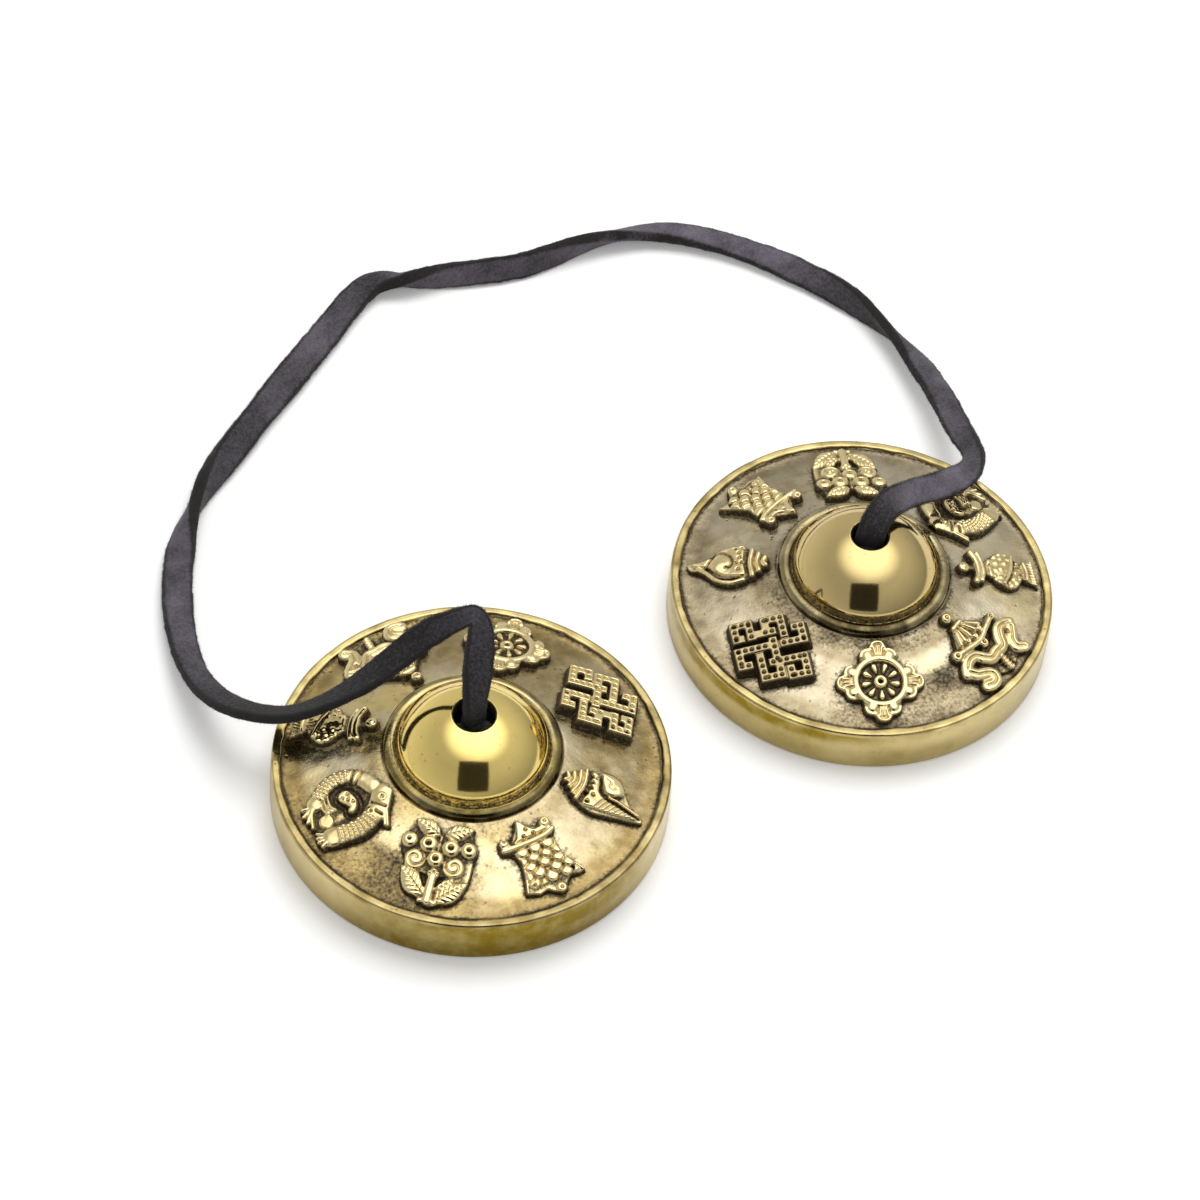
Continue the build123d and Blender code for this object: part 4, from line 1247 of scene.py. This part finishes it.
class Casting:
    """Surface of a turned casting, with its hand-worked unevenness and its paint."""

    def __init__(self, tints, seed):
        stretches = section(tints["hole"])
        line = np.vstack([points for _, points in stretches])
        self.tints, self.seed = tints, seed
        self.zone = np.concatenate([[ZONES.index(label)] * len(points) for label, points in stretches])
        self.angle = np.linspace(0, 2 * pi, SEGMENTS, endpoint=False)
        self.radius = line[:, :1] + 0 * self.angle
        self.z = line[:, 1:] + 0 * self.angle
        self.lay_out()
        self.work()
        self.lay_out()

    def lay_out(self):
        """Places in plan, from the radius and the angle."""
        self.x, self.y = self.radius * np.cos(self.angle), self.radius * np.sin(self.angle)
        self.heading = np.arctan2(self.y, self.x)

    def on(self, label):
        """Where a zone is."""
        return (self.zone == ZONES.index(label))[:, None] + 0 * self.angle.astype(int)

    def uneven(self, size, number):
        """Unevenness all over the casting."""
        return rough(self.x, self.y, size, self.seed + number)

    def tint(self, label):
        """Strength of a tint, which leans to one side of the cymbal."""
        return toward(self.heading, *self.tints[label])

    def work(self):
        """Unevenness of the lip, the field and the collar."""
        inner = ease((31.6 - self.radius) / 0.6) * self.on("lip")
        inside = ease((30.6 - self.radius) / 0.8) * ease((self.radius - 14.7) / 0.8) * self.on("field")
        self.radius = self.radius + inner * (0.14 * self.uneven(3.2, 0) + 0.1 * self.uneven(1.3, 1))
        lip = 0.05 * self.uneven(4.5, 2) + 0.03 * self.uneven(1.4, 3) - 0.05
        field = 0.07 * self.uneven(5.0, 4) + 0.04 * self.uneven(1.8, 5)
        collar = 0.04 * self.uneven(3.4, 6) + 0.012 * self.uneven(0.9, 7)
        self.z = self.z + self.on("lip") * lip + inside * field + self.on("collar") * collar

    def stain_and_shade(self):
        """Old stain on the outer field, partly painted dark reflection."""
        return self.tint("stain_and_shade") * ease((self.radius - 20.5) / 4.0)

    def patina_and_shade(self, halo):
        """Dark dirt and painted shade round the emblems, in the creases and in the hollows, from nought
        to one.
        """
        radius, z = self.radius, self.z
        ragged = 0.85 + 0.3 * self.uneven(4.0, 8)
        crease_dirt_and_shade, reach = self.tints["crease"]
        # Painted shade and dark reflection on the field near the collar, towards one side.
        painted_shade_by_collar = np.clip(self.tint("by_collar") / 2, 0, 1) * ease((19.5 - radius) / 3.5)
        field = (
            # Dirt and painted shade round the emblems, a painted shadow along the lip's inner edge,
            # dirt and painted shade in the crease at the collar.
            np.clip(1.25 * halo, 0, 1),
            ragged * np.exp(-np.abs(radius - FIELD_OUT[0]) / 0.45),
            ragged * crease_dirt_and_shade * np.exp(-np.abs(radius - FIELD_IN[0]) / reach),
            painted_shade_by_collar * np.clip(0.62 + 0.3 * self.uneven(3.0, 17), 0, 1),
            # Old stain, partly painted dark reflection, on the outer field.
            np.clip(self.stain_and_shade(), 0, 1) * np.clip(0.55 + 0.3 * self.uneven(4.0, 18), 0, 1),
        )
        across, up = (radius - COLLAR_IN[0]) / 0.2, (z - COLLAR_IN[1]) / 0.35
        groove = 0.85 * np.exp(-(across**2) - up**2)
        collar = (0.5 * np.clip(0.4 + 0.6 * self.uneven(2.6, 9), 0, 1), groove)
        dome = (
            groove,
            # Painted shade at the edge of the hole, and a painted dark reflection round the foot of the
            # dome.
            ease((self.tints["hole"] + 0.42 - radius) / 0.3),
            0.72 * ease((DOME_FOOT[1] + 1.7 - z) / 0.8),
        )
        # The inside of the hollow is painted dark, as painted shade.
        under = ((radius < 12.5) * (z > 8),)
        layers = (("field", field), ("collar", collar), ("dome", dome), ("under", under))
        return np.clip(sum(self.on(label) * np.max(parts, axis=0) for label, parts in layers), 0, 1)

    def wear_and_highlight(self):
        """Bright rubbed metal on the lip and the collar, and a painted highlight along the collar's
        bead.
        """
        lip = 0.4 * np.clip(0.2 + 0.8 * self.uneven(1.9, 10), 0, 1)
        # Painted highlight along the bead of the collar, set for each cymbal.
        bead_highlight = ease((self.radius - COLLAR_IN[0] - 0.1) / 0.2) * ease((13.5 - self.radius) / 0.5)
        bead_highlight = self.tints["bead_highlight"] * bead_highlight * np.clip(0.8 + 0.5 * self.uneven(2.8, 19), 0, 1)
        rubbed = 1 - np.clip(self.tint("collar_dark"), 0, 1)
        rubbed = 0.3 * rubbed * np.clip(self.uneven(2.4, 11), 0, 1)
        return self.on("lip") * lip + self.on("collar") * np.maximum(bead_highlight, rubbed)

    def tarnish_and_shade(self):
        """Tarnish and painted shade, from nought to one."""
        radius, z = self.radius, self.z
        field = self.tint("field") * ease((radius - 11.0) / 10.0) + 0.35 * self.uneven(7.0, 12)
        # By the lip and by the collar the field is painted darker towards the front, as painted dark
        # reflection.
        field = field + self.tint("by_lip") * ease((radius - 26.0) / 4.0) + self.stain_and_shade()
        field = field + self.tint("by_collar") * ease((20.5 - radius) / 4.0)
        # The rim is painted darker on one side, at its top and at its foot, and the lip and the collar
        # darker on one side: partly tarnish, partly painted shade and dark reflection.
        rim = self.tint("rim") + 0.25 * rough(12 * self.heading, z, 3.0, self.seed + 14)
        rim = rim + self.tint("rim_top") * ease((z - 5.0) / 2.0)
        rim = rim + self.tint("rim_foot") * ease((3.6 - z) / 2.8)
        lip = self.tint("lip") + 0.5 * self.uneven(2.7, 15)
        collar = self.tint("collar") + self.tint("collar_dark") + 0.3 * self.uneven(3.4, 16)
        layers = (("field", field), ("rim", rim), ("lip", lip), ("collar", collar))
        return np.clip(sum(self.on(label) * layer for label, layer in layers), 0, 1)

    def gold(self):
        """Golden patches, from nought to one."""
        by_lip = self.on("field") * self.tint("gold_by_lip") * ease((self.radius - 24.0) / 5.0)
        return np.clip(self.tint("gold") + 0.4 * self.uneven(6.0, 13) + by_lip, 0, 1)


def casting_mesh(name, centre, turn, reliefs, materials, tints, seed):
    """The turned casting of one cymbal."""
    casting = Casting(tints, seed)
    halo = emblem_halo(casting.x, casting.y, turn, reliefs)
    points = np.stack([centre[0] + casting.x, centre[1] + casting.y, casting.z], -1).reshape(-1, 3)
    faces = rings_to_quads(len(casting.zone), SEGMENTS, True).tolist()
    attributes = {
        # Patina and wear carry painted shade and a painted highlight; tarnish carries painted shade and
        # dark reflection.
        "patina_and_shade": casting.patina_and_shade(halo).ravel(),
        "wear_and_highlight": casting.wear_and_highlight().ravel(),
        "tarnish_and_shade": casting.tarnish_and_shade().ravel(),
        "gold": casting.gold().ravel(),
    }
    return make_mesh(name, points, faces, materials, np.repeat(casting.zone, SEGMENTS), attributes)


def tube(points, radius, around, closed):
    """Round tube along points, as points and faces."""
    points = np.array(points, float)
    ahead, behind = np.roll(points, -1, 0), np.roll(points, 1, 0)
    if not closed:
        ahead[-1], behind[0] = points[-1], points[0]
    tangent = unit(ahead - behind)
    guide = np.where(np.abs(tangent[:, 2:]) > 0.9, (1.0, 0, 0), (0, 0, 1.0))
    side = unit(np.cross(tangent, guide))
    up = np.cross(side, tangent)
    angle = np.linspace(0, 2 * pi, around, endpoint=False)[None, :, None]
    spokes = np.cos(angle) * side[:, None, :] + np.sin(angle) * up[:, None, :]
    faces = rings_to_quads(len(points), around, closed)[:, ::-1].tolist()
    if not closed:
        faces += end_faces(len(points), around)
    return (points[:, None, :] + radius * spokes).reshape(-1, 3), faces


def knot_mesh(name, centre, materials):
    """Overhand knot of the strap inside a dome, with its cut end."""
    t = np.linspace(0, 2 * pi, 120, endpoint=False)
    spread, tall = 0.98, 1.7
    right, back = np.sin(t) + 2 * np.sin(2 * t), np.cos(t) - 2 * np.cos(2 * t)
    loop = np.stack([spread * right, spread * back, -tall * np.sin(3 * t)], 1)
    stub = [(0, 0, height) for height in np.linspace(-1.0, STRAP_START - KNOT_Z, 6)]
    tail = [(0, 0, -height) for height in np.linspace(0.0, 7.0, 8)]
    points, faces = [], []
    for line, thick, closed in ((loop, 1.45, True), (stub, 1.75, False), (tail, 1.75, False)):
        shell, quads = tube(line, thick, 12, closed)
        first = sum(len(part) for part in points)
        points.append(shell + (centre[0], centre[1], KNOT_Z))
        faces += [[corner + first for corner in face] for face in quads]
    points = np.vstack(points)
    attributes = {"edge": np.zeros(len(points)), "tone_and_shade": np.zeros(len(points))}
    return make_mesh(name, points, faces, materials, None, attributes)


# Nap of the suede

def nap_group(material):
    """Short fibres scattered over a mesh, more of them along its edges."""
    tree = bpy.data.node_groups.new("nap", "GeometryNodeTree")
    face = tree.interface
    face.new_socket("Geometry", in_out="INPUT", socket_type="NodeSocketGeometry")
    for label, value in (("Density", 1.0), ("Length", 1.0), ("Thickness", 1.0)):
        face.new_socket(label, in_out="INPUT", socket_type="NodeSocketFloat").default_value = value
    face.new_socket("Seed", in_out="INPUT", socket_type="NodeSocketInt")
    face.new_socket("Geometry", in_out="OUTPUT", socket_type="NodeSocketGeometry")
    given = add(tree, "NodeGroupInput").outputs
    out = add(tree, "NodeGroupOutput")
    edge = add(tree, "GeometryNodeInputNamedAttribute", {"Name": "edge"}).outputs[0]
    share = add(tree, "ShaderNodeMath", {0: edge, 1: 0.8, 2: 0.2}, operation="MULTIPLY_ADD").outputs[0]
    density = calc(tree, "MULTIPLY", given["Density"], share)
    inputs = {"Mesh": given["Geometry"], "Density": density, "Seed": given["Seed"]}
    spread = add(tree, "GeometryNodeDistributePointsOnFaces", inputs)
    inputs = {"Vertices": 3, "Radius Top": 0.0, "Depth": given["Length"]}
    inputs["Radius Bottom"] = given["Thickness"]
    cone = add(tree, "GeometryNodeMeshCone", inputs, fill_type="NONE").outputs["Mesh"]
    inputs = {0: (-1.0, -1.0, -3.0), 1: (1.0, 1.0, 3.0), "Seed": given["Seed"]}
    tilt = add(tree, "FunctionNodeRandomValue", inputs, data_type="FLOAT_VECTOR").outputs[0]
    inputs = {"Rotation": spread.outputs["Rotation"], "Rotate By": tilt}
    turn = add(tree, "FunctionNodeRotateRotation", inputs, rotation_space="LOCAL").outputs[0]
    inputs = {2: 0.5, 3: 1.2, "Seed": given["Seed"]}
    size = add(tree, "FunctionNodeRandomValue", inputs, data_type="FLOAT").outputs[1]
    inputs = {"Points": spread.outputs["Points"], "Instance": cone, "Rotation": turn, "Scale": size}
    placed = add(tree, "GeometryNodeInstanceOnPoints", inputs)
    real = add(tree, "GeometryNodeRealizeInstances", {"Geometry": placed.outputs[0]})
    painted = add(tree, "GeometryNodeSetMaterial", {"Geometry": real.outputs[0], "Material": material})
    tree.links.new(painted.outputs[0], out.inputs[0])
    return tree


def nap_mesh(strap, material):
    """Loose fibres that stand off the strap."""
    carrier = link(bpy.data.objects.new("carrier", strap.data.copy()))
    modifier = carrier.modifiers.new("nap", "NODES")
    modifier.node_group = nap_group(material)
    wanted = {"Density": 2.2e7, "Length": 0.42 * MM, "Thickness": 0.022 * MM, "Seed": 4}
    for item in modifier.node_group.interface.items_tree:
        if item.in_out == "INPUT" and item.name in wanted:
            modifier[item.identifier] = wanted[item.name]
    bpy.context.view_layer.update()
    mesh = evaluated_mesh(carrier)
    mesh.name = "strap_nap"
    bpy.data.objects.remove(carrier)
    points = np.array([vertex.co for vertex in mesh.vertices])
    points[:, 2] = np.maximum(points[:, 2], 0.01 * MM)
    mesh.vertices.foreach_set("co", points.ravel())
    mesh.update()
    return link(bpy.data.objects.new("strap_nap", mesh))


# Floor, light and surroundings

def square(name, half, material):
    """Flat square object, from half its side in metres."""
    mesh = bpy.data.meshes.new(name)
    corners = [(-half, -half, 0), (half, -half, 0), (half, half, 0), (-half, half, 0)]
    mesh.from_pydata(corners, [], [(0, 1, 2, 3)])
    mesh.materials.append(material)
    return link(bpy.data.objects.new(name, mesh))


def aim(thing, axis, place, target):
    """Put an object at a place and turn one of its axes to a target."""
    thing.location = place
    thing.rotation_mode = "QUATERNION"
    thing.rotation_quaternion = (Vector(target) - Vector(place)).to_track_quat(axis, "Y")


def make_floor():
    """Plain white floor that keeps soft shadows and is dark where a hole looks down on it."""
    material = bpy.data.materials.new("floor")
    material.use_nodes = True
    tree = material.node_tree
    tree.nodes.clear()
    diffuse = add(tree, "ShaderNodeBsdfDiffuse", {"Color": (0.93, 0.93, 0.92, 1)})
    strength = calc(tree, "MULTIPLY", add(tree, "ShaderNodeLightPath").outputs["Is Camera Ray"], 0.165)
    for x, y in (LEFT, RIGHT):
        away = measure(tree, "DISTANCE", object_coords(tree), (x * MM, y * MM, 0))
        strength = calc(tree, "MULTIPLY", strength, fit(tree, away, 0.0185, 0.0325))
    glow = add(tree, "ShaderNodeEmission", {"Color": (1, 1, 1, 1), "Strength": strength})
    both = add(tree, "ShaderNodeAddShader", {0: diffuse.outputs[0], 1: glow.outputs[0]})
    out = add(tree, "ShaderNodeOutputMaterial")
    tree.links.new(both.outputs[0], out.inputs["Surface"])
    return square("floor", 3.0, material)


# Directions of the tent as the camera sees it
TO_BACK = (0.583, 0.812, 0.0)
TO_RIGHT = (0.812, -0.583, 0.0)
TO_ROOF = (0.115, 0.052, 0.992)


def make_world():
    """Pale tent: bright above, greyer low down, darker on the side of the camera."""
    world = bpy.data.worlds.new("tent")
    bpy.context.scene.world = world
    world.use_nodes = True
    tree = world.node_tree
    tree.nodes.clear()
    direction = add(tree, "ShaderNodeTexCoord").outputs["Generated"]
    height = add(tree, "ShaderNodeSeparateXYZ", {0: direction}).outputs["Z"]
    behind, beside, overhead = [
        measure(tree, "DOT_PRODUCT", direction, way) for way in (TO_BACK, TO_RIGHT, TO_ROOF)
    ]
    low = fit(tree, beside, -0.7, 0.7, 0.88, 0.36)
    high = fit(tree, beside, -0.6, 0.6, 0.62, 0.80)
    level = mix_values(tree, fit(tree, height, 0.0, 0.6), low, high)
    strength = calc(tree, "MULTIPLY", level, fit(tree, behind, -0.9, 0.5, 0.72, 0.95))
    inputs = {"Value": overhead, "From Min": 0.7, "From Max": 0.98, "To Min": 0.0, "To Max": 1.5}
    roof = add(tree, "ShaderNodeMapRange", inputs, interpolation_type="SMOOTHSTEP").outputs["Result"]
    strength = calc(tree, "ADD", strength, roof)
    rays = add(tree, "ShaderNodeLightPath").outputs
    around = mix_values(tree, rays["Is Glossy Ray"], 0.55, strength)
    plain = mix_values(tree, rays["Is Camera Ray"], around, 1.0)
    sky = add(tree, "ShaderNodeBackground", {"Color": (1, 1, 1, 1), "Strength": plain})
    out = add(tree, "ShaderNodeOutputWorld")
    tree.links.new(sky.outputs[0], out.inputs["Surface"])


def make_light(name, place, target, size, radiance):
    """Soft square light, kept out of the reflections."""
    data = bpy.data.lights.new(name, "AREA")
    data.shape = "SQUARE"
    data.size = size
    data.energy = radiance * pi * size * size
    light = link(bpy.data.objects.new(name, data))
    aim(light, "-Z", place, target)
    light.visible_glossy = False


def make_card(name, place, target, size):
    """Dark opening of the tent, which only shows as a reflection."""
    material = bpy.data.materials.new(name)
    material.use_nodes = True
    shader = material.node_tree.nodes["Principled BSDF"]
    shader.inputs["Base Color"].default_value = (0.03, 0.027, 0.022, 1)
    shader.inputs["Roughness"].default_value = 0.9
    card = square(name, size / 2, material)
    aim(card, "Z", place, target)
    card.visible_camera = False
    card.visible_diffuse = False
    card.visible_shadow = False
    return card


# Assembly

leather = suede("suede", 0.0)
fibre = suede("suede_nap", 0.12)

GOLD = (0.83, 0.64, 0.25)
SILVER = (0.68, 0.60, 0.43)
BROWN = (0.30, 0.24, 0.14)
# Colours of the metal, its gilded patches and its tarnish, then how much it is gilded, its grain,
# its roughness, the depth of its grain in millimetres and how dark its pits are. On the casting the
# tarnish colour also serves as painted shade and dark reflection; the right dome is given darker
# brass than the left one.
BRASSES = {
    "rim": ((0.76, 0.62, 0.30), (0.78, 0.62, 0.28), (0.28, 0.19, 0.004), 1.0, 0.2, 0.2, 0.02, 0.2),
    "lip": ((0.62, 0.50, 0.21), GOLD, (0.25, 0.18, 0.065), 0.5, 0.5, 0.2, 0.04, 0.4),
    "left_field": ((0.69, 0.60, 0.40), GOLD, (0.29, 0.205, 0.075), 1.0, 0.65, 0.21, 0.06, 0.6),
    "right_field": (SILVER, GOLD, BROWN, 1.0, 0.65, 0.21, 0.06, 0.6),
    "left_collar": (
        (0.47, 0.37, 0.14), (0.53, 0.40, 0.13), (0.05, 0.036, 0.007), 0.5, 0.4, 0.16, 0.03, 0.3
    ),
    "right_collar": (
        (0.52, 0.43, 0.23), (0.58, 0.45, 0.18), (0.045, 0.034, 0.01), 0.5, 0.4, 0.16, 0.03, 0.3
    ),
    "left_dome": ((0.91, 0.71, 0.24), (0.87, 0.65, 0.2), GOLD, 0.5, 0.1, 0.1, 0.012, 0.25),
    "right_dome": ((0.66, 0.51, 0.22), (0.69, 0.52, 0.21), GOLD, 0.5, 0.1, 0.1, 0.012, 0.25),
    "under": ((0.50, 0.40, 0.20), GOLD, BROWN, 0.4, 1.0, 0.45, 0.12, 0.5),
    "emblem": ((0.74, 0.585, 0.29), GOLD, (0.20, 0.155, 0.09), 0.6, 0.35, 0.2, 0.025, 0.2),
}
group = aged_brass()
brasses = {label: brass(label + "_brass", group, *looks) for label, looks in BRASSES.items()}

strap, strap_line = strap_mesh([leather])
nap = nap_mesh(strap, fibre)
left_knot = knot_mesh("knot_left", LEFT, [leather])
right_knot = knot_mesh("knot_right", RIGHT, [leather])

for piece in (strap, nap):
    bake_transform(piece)
for piece, body in ((left_knot, "strap_left"), (right_knot, "strap_right")):
    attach(piece, body)
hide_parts("strap_left", "strap_right")
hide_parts("left_knot")
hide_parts("right_knot")

# Heading of the side that faces the camera, and a tint that isn't there
FRONT = -125.7
NONE = (FRONT, 0.0, 0.0)
# Each cymbal with its place, the heading of its wheel and the seed of its unevenness
PAIR = (("left", LEFT, 45.0, 100), ("right", RIGHT, -117.1, 300))
# Looks of the left cymbal and of the right one: first the radius of the hole, tarnish and gold of
# the emblems, tarnish of the endless knot, painted highlight along the collar's bead, strength and
# reach of the dirt and painted shade in the crease at the collar
LOOKS = {
    "hole": (HOLE_R, 3.05),
    "emblems": ((0.1, 0.7), (0.12, 0.35)),
    "knot": (0.2, 0.85),
    "bead_highlight": (0.9, 0.0),
    "crease": ((0.5, 0.25), (1.3, 0.8)),
}
# Tints of both: the heading that a tint leans to, its strength on the far side and on that side.
# On the field, rim, lip and collar the darker side is partly tarnish and stain and partly painted
# shade and dark reflection.
TINTS = {
    "gold": ((FRONT - 65, 0.1, 0.95), (FRONT + 150, 0.0, 0.3)),
    "gold_by_lip": ((FRONT - 10, -0.2, 0.8), NONE),
    "field": ((FRONT + 140, -0.15, 0.95), (FRONT + 240, 0.0, 0.55)),
    "by_lip": ((FRONT - 35, 0.1, 1.9), (FRONT + 10, 0.3, 1.0)),
    "by_collar": ((FRONT - 20, -0.3, 0.8), (FRONT - 10, -1.0, 2.2)),
    "stain_and_shade": ((FRONT - 32, -6.0, 1.1), (FRONT + 30, -8.0, 1.6)),
    "rim": ((FRONT + 18, -4.0, 1.1), (FRONT - 40, 0.1, 0.4)),
    "rim_top": (NONE, (FRONT - 40, -4.5, 1.1)),
    "rim_foot": ((FRONT + 10, 0.0, 0.1), NONE),
    "lip": ((FRONT + 30, 0.15, 0.95), (FRONT - 70, 0.1, 0.6)),
    "collar": ((FRONT + 40, 0.3, 0.9), (FRONT - 10, 0.2, 0.75)),
    "collar_dark": ((FRONT + 20, -0.8, 0.35), (FRONT, -22.0, 2.0)),
}
FISH_SHIFT = 1.2           # the reversed fish lie this far along the ring


def cut_emblem(side, label, sketch):
    """Emblem as it is on one side: the right casting has its own conch and its fish reversed."""
    if side == "right" and label == "conch":
        return swirled_conch()
    relief = sketch()
    if side == "right" and label == "fish_pair":
        return mirrored(relief, FISH_SHIFT)
    return relief


for number, (side, centre, turn, seed) in enumerate(PAIR):
    body = side + "_cymbal"
    tints = {label: both[number] for label, both in {**LOOKS, **TINTS}.items()}
    sketched = [cut_emblem(side, label, sketch) for label, sketch, _ in EMBLEMS]
    reliefs = [(relief, finished(relief)) for relief in sketched]
    casting_brass = [brasses.get(zone) or brasses[side + "_" + zone] for zone in ZONES]
    casting = casting_mesh(side + "_casting", centre, turn, reliefs, casting_brass, tints, seed)
    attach(casting, body)
    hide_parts(body)
    for (label, _, place), (relief, parts) in zip(EMBLEMS, reliefs):
        angle = radians(turn - place)
        tarnish_and_shade, gold = tints["emblems"]
        tarnish_and_shade = tints["knot"] if label == "endless_knot" else tarnish_and_shade
        name = side + "_" + label
        emblem = emblem_mesh(name, relief, parts, centre, angle, [brasses["emblem"]], tarnish_and_shade, gold)
        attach(emblem, body)

floor = make_floor()
make_world()
make_light("softbox", (0.22, 0.21, 0.72), (0, 0.03, 0), 0.5, 4.8)
card = make_card("opening", (-0.38, -0.62, 0.54), (0, 0, 0), 0.66)

bpy.context.scene.view_settings.view_transform = "Standard"
